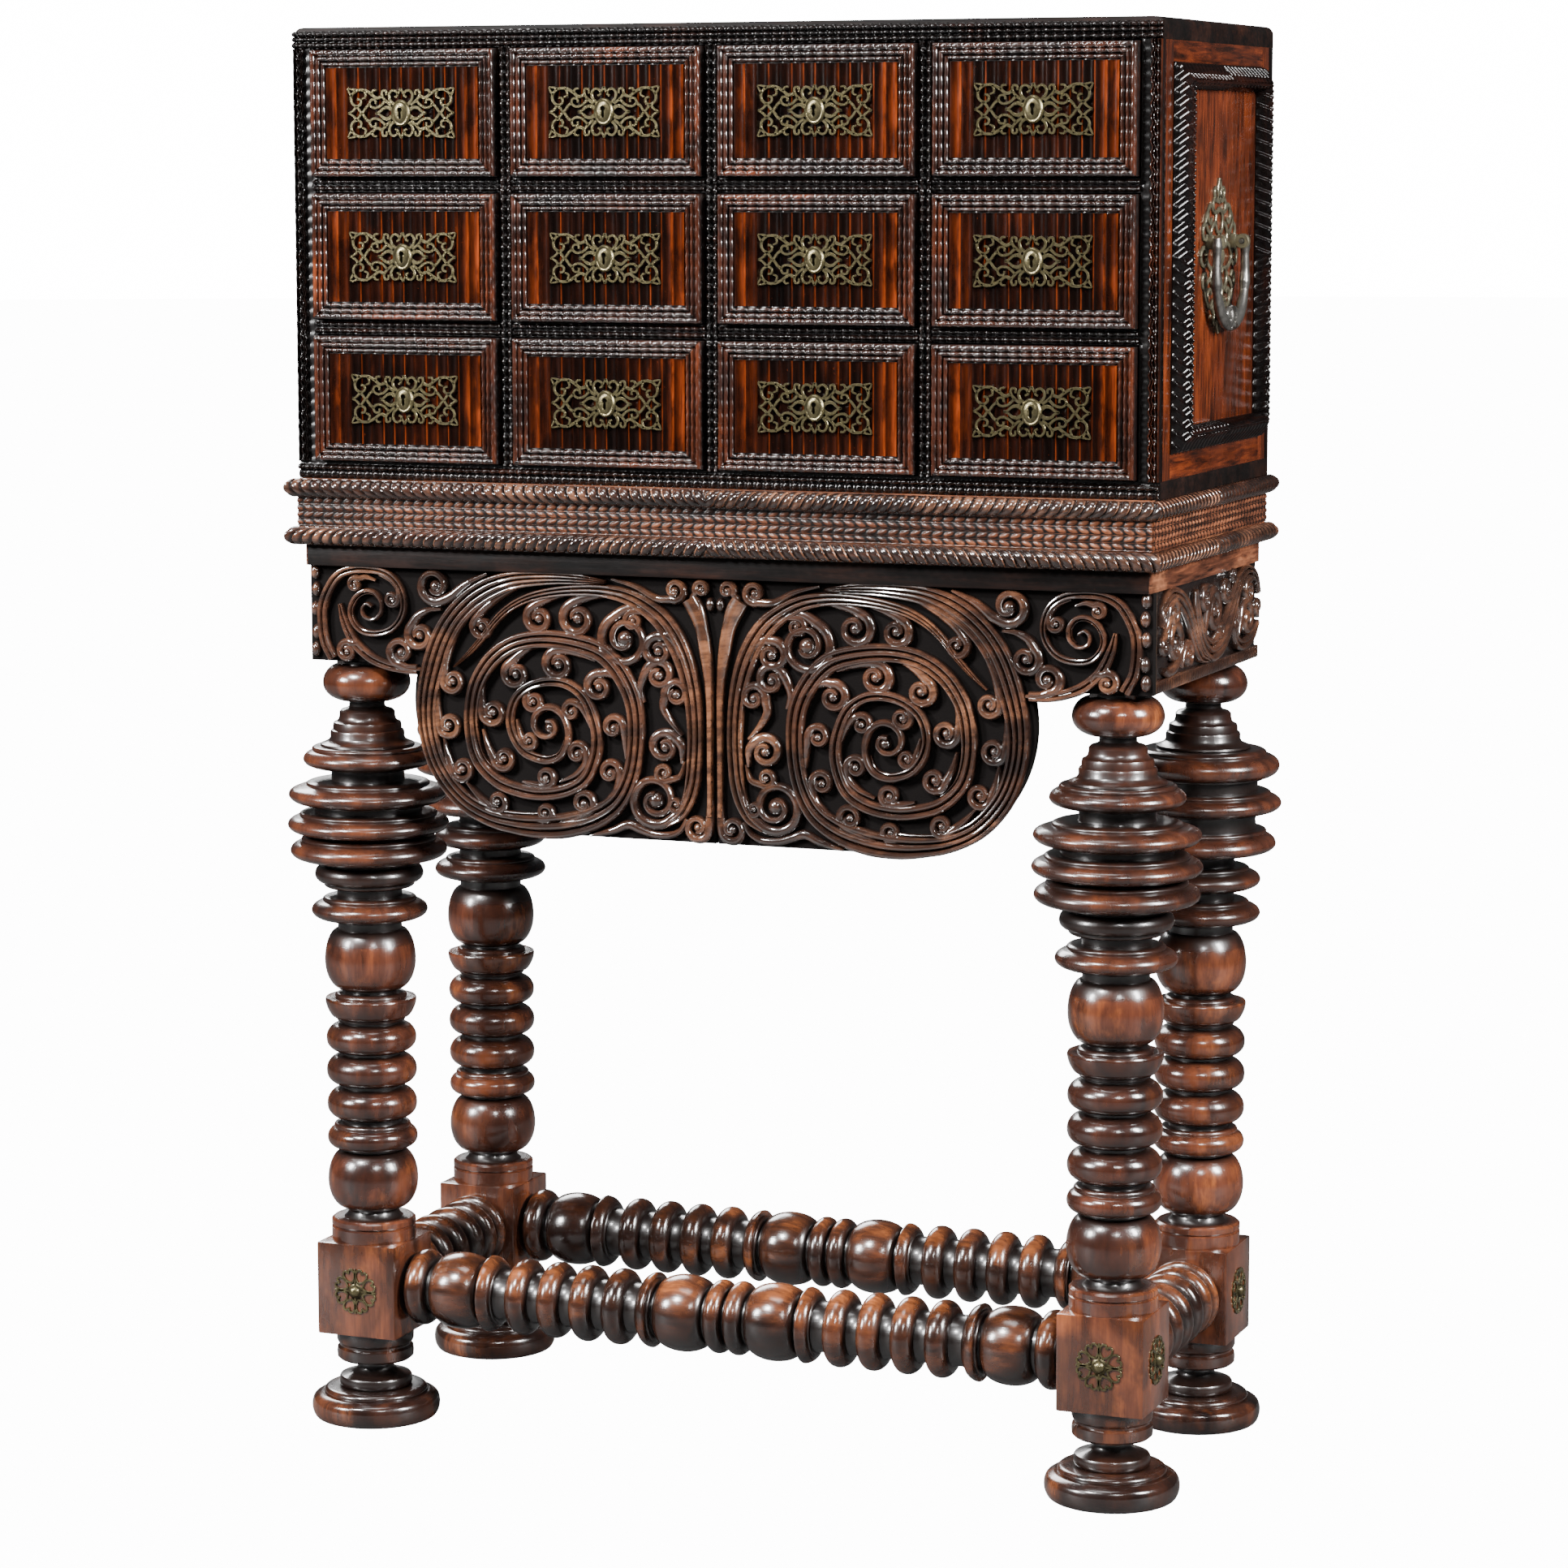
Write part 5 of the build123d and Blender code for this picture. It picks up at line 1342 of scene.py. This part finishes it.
# Each: eye x, eye z, reach of the curl, the angle where it starts, its sense, its turns and its lead.
VOLUTES = [
    (-308.5, 889.5, 17, -75, -1, 1.7, [(-250, 904), (-275, 892), (-292, 879)]),
    (-326.5, 839, 14, 135, 1, 1.3, [(-302, 866), (-316, 864.5), (-329, 858)]),
    (-289.5, 793, 11.5, 180, 1, 1.3, [(-210, 897), (-240, 887), (-262, 872), (-281, 850), (-292, 829),
     (-298.5, 808)]),
    (-256, 850, 11, 170, 1, 1, [(-190, 898), (-215, 892), (-238, 880), (-256, 866)]),
    (-294.5, 747.5, 12, 215, 1, 1.2, [(-304, 800), (-308, 775), (-307, 757)]),
    (-280, 703, 12, 190, 1, 1.2, [(-300, 735), (-297, 718)]),
    (-240.5, 671, 10.5, 215, 1, 1.2, [(-276, 690), (-262, 676)]),
    (-233, 716, 11.5, 190, 1, 1.2, [(-256, 745), (-251, 728)]),
    (-245, 763, 12.5, 200, 1, 1.3, [(-254, 795), (-258, 777)]),
    (-199, 776, 9.5, 180, 1, 1.2, [(-195, 791), (-205, 786)]),
    (-204, 736, 8.5, 180, 1, 1.2, [(-218, 757), (-215, 745)]),
    (-218.5, 803, 13.5, 120, 1, 1.4, [(-186, 834), (-202, 830.5), (-215, 823)]),
    (-192.5, 861, 14, 120, 1, 1.3, [(-165, 885), (-180, 881), (-191, 877)]),
    (-149.5, 862.5, 17, 115, 1, 1.7, [(-110, 887), (-130, 885.5), (-147, 881.5)]),
    (-98, 843, 26.5, 120, 1, 1.9, [(-66, 868), (-80, 874), (-95, 874)]),
    (-88, 862.5, 9, 100, 1, 1.2, [(-58, 862), (-68, 868), (-80, 871)]),
    (-61, 833, 15, 80, 1, 1.4, [(-38, 826), (-43, 840), (-52, 848)]),
    (-61, 808, 14.5, 150, -1, 1.4, [(-77, 780), (-81, 795)]),
    (-42, 789.5, 13, 190, -1, 1.5, [(-36, 748), (-49, 763), (-56, 776)]),
    (-54, 736, 15, 60, 1, 1.5, [(-36, 720), (-37, 738)]),
    (-55, 709.5, 9, -60, -1, 1.1, [(-33, 722), (-39, 706)]),
    (-65, 681, 26, -50, -1, 2, [(-28, 700), (-35, 676)]),
    (-42, 678, 7.5, -30, -1, 1, [(-32, 692)]),
    (-18.5, 656, 12.5, -30, -1, 1.3, [(-6, 700), (-5.5, 675)]),
    (-150, 725, 10, 20, 1, 1.1, [(-170, 695), (-153, 703), (-142, 715)]),
    (-110, 753, 11, 10, 1, 1.1, [(-97, 722), (-98, 738)]),
    (-114, 707, 11, 0, 1, 1.1, [(-122, 676), (-108, 690)]),
    (-144, 674, 11.5, -30, 1, 1.1, [(-172, 652), (-150, 660)]),
    (-186, 698, 9.5, -60, 1, 1.1, [(-212, 693), (-196, 690)]),
    (-187, 662, 8.5, -70, 1, 1.1, [(-212, 657), (-198, 655)]),
    (-171, 815, 15, 110, 1, 1.2, [(-130, 820), (-150, 827), (-165, 829.5)]),
    (-126, 794, 14, 80, 1, 1.2, [(-98, 795), (-108, 804), (-118, 808)]),
    (-156, 768, 9.5, 60, 1, 1, [(-135, 750), (-142, 766), (-148, 774)]),
    (-357, 875, 7.5, 10, -1, 1.3, [(-372, 899), (-358, 893), (-350, 884)]),
    (-399, 888.5, 7, 60, 1, 1.1, [(-376, 893), (-387, 896)]),
    (-409, 819, 10, 60, 1, 1.2, [(-392, 820), (-398, 827)]),
    (-348, 820, 13.5, -100, -1, 1.5, [(-326, 803), (-340, 804)]),
    (-43, 894, 10.5, -110, 1, 1.5, [(-112, 903), (-85, 896), (-62, 885)]),
    (-14, 896, 7.5, 210, -1, 1.3, [(-28, 880), (-24, 888)]),
]
SPIRAL_EYE = (-181, 750)
# The bands of the front: points, widths, how many strands side by side, height, inner side (0: none), warm.
FRONT_STEMS = [
    (SPIRAL, np.array(SPIRAL_WIDTHS) * 1.12, SPIRAL_COUNTS, 10.8, 1, 0.0),
    (STEM, STEM_WIDTHS, [3, 3, 3, 3, 3, 2], 10.2, -1, 0.12),
    (CENTRE_STEM, CENTRE_STEM_WIDTHS, [1], 10.0, 0, 0.6),
    (CORNER_RINGS, CORNER_WIDTHS, [2, 2, 2, 1.4, 1], 9.5, -1, 0.0),
    (CORNER_STEM, [4, 10, 12, 12, 12, 11, 11, 11], [2], 9.0, 0, 0.0),
    (LEAF, [3, 9, 11, 10, 9, 8, 7, 6], [1], 7.5, 0, 0.0),
]
APRON_FACE, GROUND_FACE = -182.6, -171.0


def lobe_outline():
    """The edge of the left half of the front apron."""
    turns = np.radians(np.arange(164.2, 270.1, 2.3))
    arc = [(-201 + 134 * cos(a), 772 + 132 * sin(a)) for a in turns]
    return [(0, 907), (-453, 907), (-453, 808), *arc, (-201, 640), (-1.5, 640), (-1.5, 800), (0, 800)]


def make_front_apron():
    """The front apron's two mirrored halves: the board's back and dark ground, and the carving on it."""
    at = on_front(APRON_FACE)
    for name, mirror in (("left", 1), ("right", -1)):
        flip = (mirror, 1)
        outline = np.array(lobe_outline()) * flip
        ground = Shape((1, 0, 0), mirror)
        prism(ground, outline, on_front(GROUND_FACE), 1.0, 12.0, relief=0.0)
        inside = Shape((1, 0, 0), mirror + 6)
        prism(inside, outline, on_front(GROUND_FACE), 0.0, 1.2)
        inside.piece(f"apron_back_{name}", back_wood)
        ground.piece(f"apron_ground_{name}", ground_wood, ["apron_front"] if mirror == 1 else ())
        shape = Shape((1, 0, 0.15), mirror + 2)
        dome_at = (mirror * SPIRAL_EYE[0], SPIRAL_EYE[1])
        for points, widths, counts, height, inner, warm in FRONT_STEMS:
            strands(shape, np.array(points) * flip, widths, counts, height, at, inner * mirror or 1, warm)
            if points is SPIRAL:
                dome(shape, dome_at, 6.4, 10.4, at, rings=6, segments=20)
        for x, z, radius, *curl in VOLUTES:
            volute(shape, x, z, radius, *curl, min(12.0, 5.2 + 0.44 * radius), 9.8, at, mirror)
        for k, z in enumerate((900.0, 882.0, 862.0, 838.0, 820.0)):
            dome(shape, (mirror * (-446.5 + k % 2), z), 5.2, 8.0, at, (1.0, 1.6), rings=5, segments=18)
        dome(shape, (mirror * 5.5, 881), 6.0, 8.5, at, (0.8, 1.3), rings=5, segments=18)
        shape.piece(f"apron_carving_{name}", carved_wood)


# The right side's carving, seen from outside. Points are (y, z).
SIDE_STEMS = [
    ([(-160, 872), (-152, 889), (-132, 898), (-106, 897), (-80, 886), (-58, 868), (-42, 848), (-24, 832),
      (2, 824)], [5, 10, 13, 15, 17, 17, 15, 11, 4], 3),
    ([(-44, 898), (-36, 876), (-24, 856), (-4, 840), (22, 833), (50, 839), (74, 853), (93, 872),
      (112, 890), (136, 900), (160, 899), (178, 890), (186, 876)],
      [5, 10, 13, 15, 20, 24, 23, 20, 15, 12, 10, 8, 5], 3),
    ([(-152, 830), (-134, 826), (-116, 828), (-98, 838), (-92, 852)], [4, 8, 9, 8, 6], 1),
    ([(106, 866), (100, 850), (104, 836), (122, 828), (146, 828), (168, 834), (184, 846)],
      [4, 8, 9, 10, 10, 8, 4], 2),
]
SIDE_VOLUTES = [
    (-112, 852, 17, 10, 1, 1.6, [(-84, 826), (-92, 838)]),
    (-118, 881, 12, 150, -1, 1.2, [(-148, 862), (-136, 872)]),
    (-66, 836, 10, 150, -1, 1.3, [(-86, 828), (-79, 838)]),
    (22, 872, 18, 150, -1, 1.7, [(-8, 848), (-2, 864)]),
    (-8, 886, 10, 80, 1, 1.2, [(16, 898), (4, 897)]),
    (66, 889, 9, -80, -1, 1.3, [(96, 884), (82, 878)]),
    (47, 851, 7, 170, 1, 1.1, [(36, 866), (39, 858)]),
    (144, 853, 16, 150, -1, 1.6, [(116, 838), (124, 850)]),
    (150, 881, 10, 120, 1, 1.2, [(176, 894), (160, 892)]),
    (182, 862, 6.5, -80, -1, 1.1, [(190, 850)]),
    (-150, 852, 7, 80, 1, 1.1, [(-138, 866)]),
    (92, 902, 4.5, -90, -1, 1, [(104, 900)]),
]
SIDE_APRON_Y, SIDE_APRON_Z = (-171.0, 193.0), (808.0, 907.0)
# The border along its lower edge, and the notches cut into it: (near, far) from the middle, (low, high).
BORDER_X, BORDER_Z = (448.5, 453.0), (808.0, 820.5)
NOTCH_X, NOTCH_Z, NOTCH_PITCH, NOTCH_WIDTH, NOTCH_COUNT = (452.4, 453.4), (809.5, 819.0), 8.2, 4.6, 44


def make_side_apron(name, side):
    """A side apron: its board, the notched border along its lower edge and the carving."""
    ground = Shape((0, 1, 0), side)
    plank(ground, (side * 431.0, side * 449.0), SIDE_APRON_Y, SIDE_APRON_Z, edge=0.5, relief=0.0)
    plank(ground, (side * BORDER_X[0], side * BORDER_X[1]), SIDE_APRON_Y, BORDER_Z)
    notch_x = (side * NOTCH_X[0], side * NOTCH_X[1])
    for y in np.arange(NOTCH_COUNT) * NOTCH_PITCH - 168.0:
        plank(ground, notch_x, (y, y + NOTCH_WIDTH), NOTCH_Z, edge=0.45, relief=0.7)
    ground.piece(f"apron_ground_{name}_side", carved_wood, [f"apron_{name}"])
    shape = Shape((0, 1, 0.1), side + 4)
    at = on_side(448.6, side)
    for points, widths, count in SIDE_STEMS:
        strands(shape, points, np.array(widths) * 1.35, [count], 9.0, at, warm=0.05)
    for x, z, radius, *curl in SIDE_VOLUTES:
        volute(shape, x, z, radius * 1.15, *curl, min(14.0, 6.0 + 0.5 * radius), 9.0, at)
    shape.piece(f"apron_carving_{name}_side", carved_wood)


make_front_apron()
for side_name, side in SIDES:
    make_side_apron(side_name, side)


# ---------------------------------------------------------------- stand rails, top, bottom and back


def make_rails():
    """The top frame of the stand and the plain rail below it at the back."""
    long_rails = Shape((1, 0, 0), 3)
    short_rails = Shape((0, 1, 0), 13)
    outer, inner = STAND_X - 0.5, STAND_Y - 45
    for sign in (-1, 1):
        long_rails.turn((1, 0, 0), seed=3 + sign)
        plank(long_rails, (-outer, outer), (sign * STAND_Y, sign * inner), RAIL_Z, edge=1.4)
        short_rails.turn((0, 1, 0), seed=9 + sign)
        plank(short_rails, (sign * outer, sign * (STAND_X - 45)), (-inner, inner), RAIL_Z, edge=0.8)
        facing = (sign * (STAND_X - 2.0), sign * STAND_X)
        plank(short_rails, facing, (-STAND_Y, STAND_Y), (RAIL_Z[0] + 0.3, RAIL_Z[1] - 0.3), edge=0.6)
    long_rails.turn((1, 0, 0), seed=12)
    plank(long_rails, *BACK_RAIL)
    long_rails.piece("rails", rail_wood, ["stand_rails"])
    short_rails.piece("side_rails", plinth_wood)


BACK_RAIL = ((-431.0, 431.0), (171.0, 193.0), (847.0, 907.0))
TOP_ROUNDING = 8.0
TOP_BAND_X, TOP_FIELD_X, TOP_FIELD_Y = (451.0, 414.0), 413.6, (-147.6, 155.6)


def make_top():
    """The top board with its rounded ends, the bands veneered round its edge and the field between them."""
    shape = Shape((1, 0, 0), 5)
    high, depth = CABINET_TOP, (CARCASS_FRONT, CARCASS_BACK)
    skin = (high - 0.8, high)
    centre = (HALF_WIDTH - TOP_ROUNDING, high - 0.3 - TOP_ROUNDING)
    turns = [radians(a) for a in range(0, 91, 15)]
    arc = [(centre[0] + TOP_ROUNDING * cos(a), centre[1] + TOP_ROUNDING * sin(a)) for a in turns]
    outline = [(-HALF_WIDTH, CEILING_Z), (HALF_WIDTH, CEILING_Z), *arc, *[(-x, z) for x, z in arc[::-1]]]
    prism(shape, outline, lambda a, b, h: np.stack([a, h, b], -1), *depth)
    for side in (-1, 1):
        shape.turn((0, 1, 0), seed=side)
        plank(shape, (side * TOP_BAND_X[0], side * TOP_BAND_X[1]), depth, skin, edge=0.25)
        shape.turn((1, 0, 0), seed=side + 3)
        band = (side * 192.0 + 4.0, side * 152.0 + 4.0)
        plank(shape, (-TOP_FIELD_X, TOP_FIELD_X), band, skin, edge=0.25)
    shape.piece("top_board", rail_wood, ["cabinet_top"], sharp=30)
    field = Shape((1, 0, 0), 8)
    plank(field, (-TOP_FIELD_X, TOP_FIELD_X), TOP_FIELD_Y, skin, edge=0.25, warm=0.3)
    field.piece("top_field", top_wood)


def make_bottom_and_back():
    """The bottom board and the three horizontal boards of the back."""
    bottom = Shape((1, 0, 0), 6)
    across, depth = (-HALF_WIDTH, HALF_WIDTH), (CARCASS_FRONT, CARCASS_BACK)
    plank(bottom, across, depth, (CABINET_BOTTOM, FLOOR_Z), edge=0.6)
    bottom.piece("bottom_board", rail_wood, ["cabinet_bottom"])
    back = Shape((1, 0, 0), 7)
    inner, z = HALF_WIDTH - SIDE_BOARD, FLOOR_Z
    for k, height in enumerate((138.0, 143.0, 137.0)):
        back.turn((1, 0, 0), seed=k + 20)
        plank(back, (-inner, inner), (CARCASS_BACK - 12.0, CARCASS_BACK), (z, z + height - 0.4), edge=0.8)
        z += height
    back.piece("back_boards", back_wood, ["cabinet_back"], slot="back_wood")


make_rails()
make_top()
make_bottom_and_back()


# ---------------------------------------------------------------- handles and rosettes

HANDLE_Z = 1225.5
# The middle of the eyes in which a bail turns
EYE_X, EYE_Y, EYE_Z = 474.0, 40.5, 1239.5
# The section of an eye: (distance from its middle, place along its hole).
EYE_SECTION = [
    (3.0, 3.4), (6.8, 3.4), (7.4, 2.6), (7.4, -2.6), (6.8, -3.4), (3.0, -3.4), (2.6, -2.6), (2.6, 2.6),
]
# Bands of one quarter of the side's plate: (points as (along, up) from its middle, first and last width).
HANDLE_BANDS = [
    ([(0, 75), (5, 66), (3.5, 58), (0, 52)], 5, 4),
    ([(0, 60), (8, 54), (15, 57), (17, 64), (12, 67), (9, 63)], 5, 3),
    ([(0, 46), (9, 42), (12, 33), (8, 25), (0, 22)], 5, 4),
    ([(9, 42), (20, 44), (30, 50), (38, 45), (38, 36), (31, 32), (26, 37)], 5, 3),
    ([(12, 33), (22, 30), (28, 22), (24, 13), (15, 12), (10, 17)], 5, 3.4),
    ([(28, 22), (38, 24), (48, 32), (55, 28), (55, 19), (47, 16), (43, 21)], 5, 3),
    ([(24, 13), (34, 10), (42, 4), (44, 0)], 4.8, 4),
    ([(42, 4), (52, 9), (60, 6), (63.5, 0)], 4.4, 3.6),
    ([(0, 22), (5, 14), (12, 4), (13, 0)], 4.6, 4),
    ([(15, 57), (21, 52), (20, 44)], 4, 3.4),
    ([(38, 45), (44, 40), (48, 32)], 4, 3.4),
]
# Half of the bail as (y, z), and its thickness as (share of its length, radius).
BAIL = [(50, 1243.5), (50.5, 1225), (51, 1205), (47, 1187), (36, 1172), (22, 1162.5), (10, 1158)]
BAIL_RADII = [
    (0, 4.8), (0.08, 6.4), (0.16, 5), (0.3, 5.4), (0.42, 6.8), (0.5, 5.2), (0.62, 6.4), (0.8, 7.2), (1, 6),
]
PIN_Y, PIN_RADII = (33.5, 50), [2.2, 2.2, 2.2, 2.2, 3.6, 4.0]
# The knob in the bail's middle: (radius, height).
KNOB = [
    (0.4, -14), (3.4, -13), (4.4, -10.5), (3.0, -8.4), (5.6, -5.0), (6.4, 0), (5.6, 5.0), (3.0, 8.4),
    (4.0, 10.5), (0.4, 12.8),
]


def rings_along_y(x, y, z, radii, angle):
    """The points of rings about a line along Y, one for each pair of `y` and `radii`."""
    return np.stack([x + radii * np.cos(angle), y + 0 * radii * angle, z + radii * np.sin(angle)], -1)


def make_handle_plate(name, side):
    """A side's pierced plate with its boss and the two eyed posts of the bail."""
    plate = Shape(seed=side)
    at = on_side(HALF_WIDTH - 0.2, side)
    for points, first, last in HANDLE_BANDS:
        line = smooth_line(points, 1.0)
        width = np.linspace(first, last, len(line))
        for corner in CORNERS:
            ribbon(plate, line * corner + (0, HANDLE_Z), width, 2.6, at, FLAT_BAR)
    dome(plate, (0, HANDLE_Z), 11.0, 7.0, at, rings=8, segments=36)
    radii, along = np.array(EYE_SECTION).T
    angle = around(32)[:, None]
    for y in (-EYE_Y, EYE_Y):
        points = rings_along_y(side * EYE_X, y + along, EYE_Z, radii, angle)
        plate.add(points, [quads(33, 8, wrap=True) % (32 * 8)], 0.8)
        plank(plate, (side * 459.5, side * 468.6), (y - 3.4, y + 3.4), (1232.6, 1246.4), relief=0.6)
    plate.piece(f"handle_plate_work_{name}", handle_brass, [f"handle_plate_{name}"], slot="brass")


def make_bail(name, side):
    """A bail: two bows that swell and curl up in the middle, their pins and a turned knob between them."""
    bail = Shape(seed=side + 9)
    x = side * EYE_X
    y, z = smooth_line(BAIL, 1.2).T
    radius = np.interp(np.linspace(0, 1, len(y)), *np.transpose(BAIL_RADII))
    pin = np.linspace(*PIN_Y, len(PIN_RADII))[:, None]
    pin_radii = np.array(PIN_RADII)[:, None]
    turns = np.linspace(radians(100), radians(-330), 60)
    reach = np.linspace(9.5, 2.6, 60)
    curl_y, curl_z = 9.5 + reach * np.cos(turns), 1164 + reach * np.sin(turns)
    for sign in (-1, 1):
        tube(bail, np.stack([np.full(len(y), x), sign * y, z], -1), radius, 0.78)
        pin_rings = rings_along_y(x, sign * pin, EYE_Z, pin_radii, around(18))
        bail.add(pin_rings, bar_faces(len(PIN_RADII), 18), 0.9)
        curl = np.stack([np.full(60, x), sign * curl_y, curl_z], -1)
        tube(bail, curl, np.linspace(3.4, 2.4, 60), 1.1, segments=12)
    knob = np.maximum(smooth_line(KNOB, 0.8), (0.3, -99)) * (0.68, 1.0)
    lathe(bail, knob, (x, 0, 1166.0), segments=24)
    node = f"handle_bail_{name}"
    bail.piece(f"bail_{name}", steel, [node], node, "bail_metal")


ROSETTE_LOOP = [(9.2, 0), (13.4, 4.7), (18.2, 6.5), (22.4, 5.2), (23.3, 2.0), (20.2, 0.2)]
ROSETTE_POINT = [(7, 0), (12, 0), (19, 0), (24, 0)]


def rosette_bands():
    """The bands of a pierced rosette about its middle: eight heart loops, and four points between them."""
    loop = ROSETTE_LOOP + [(x, -z) for x, z in ROSETTE_LOOP[-2::-1]]
    bands = [(loop, 45 * k + 22.5) for k in range(8)] + [(ROSETTE_POINT, 90 * k) for k in range(4)]
    for points, degrees in bands:
        c, s = cos(radians(degrees)), sin(radians(degrees))
        yield smooth_line([(x * c - z * s, x * s + z * c) for x, z in points], 0.9)


def make_rosettes():
    """The rosettes on the outer faces of the leg blocks."""
    shape = Shape(seed=2)
    lift = BLOCK_HALF - 0.2
    places = []
    for side in (-1, 1):
        places.append((on_front(-LEG_Y - lift), side * LEG_X))
        for y in (-LEG_Y, LEG_Y):
            places.append((on_side(LEG_X + lift, side), y))
    for at, along in places:
        middle = np.array([along, STRETCHER_Z])
        for line in rosette_bands():
            ribbon(shape, line + middle, np.linspace(2.1, 1.9, len(line)), 1.9, at, FLAT_BAR)
        dome(shape, middle, 8.6, 2.2, at, rings=4, segments=32, relief=0.5)
        dome(shape, middle, 6.6, 7.4, at, rings=8, segments=28)
    shape.piece("rosettes", brass, ["block_rosettes"], slot="brass")


for side_name, side in SIDES:
    make_handle_plate(side_name, side)
    make_bail(side_name, side)
make_rosettes()
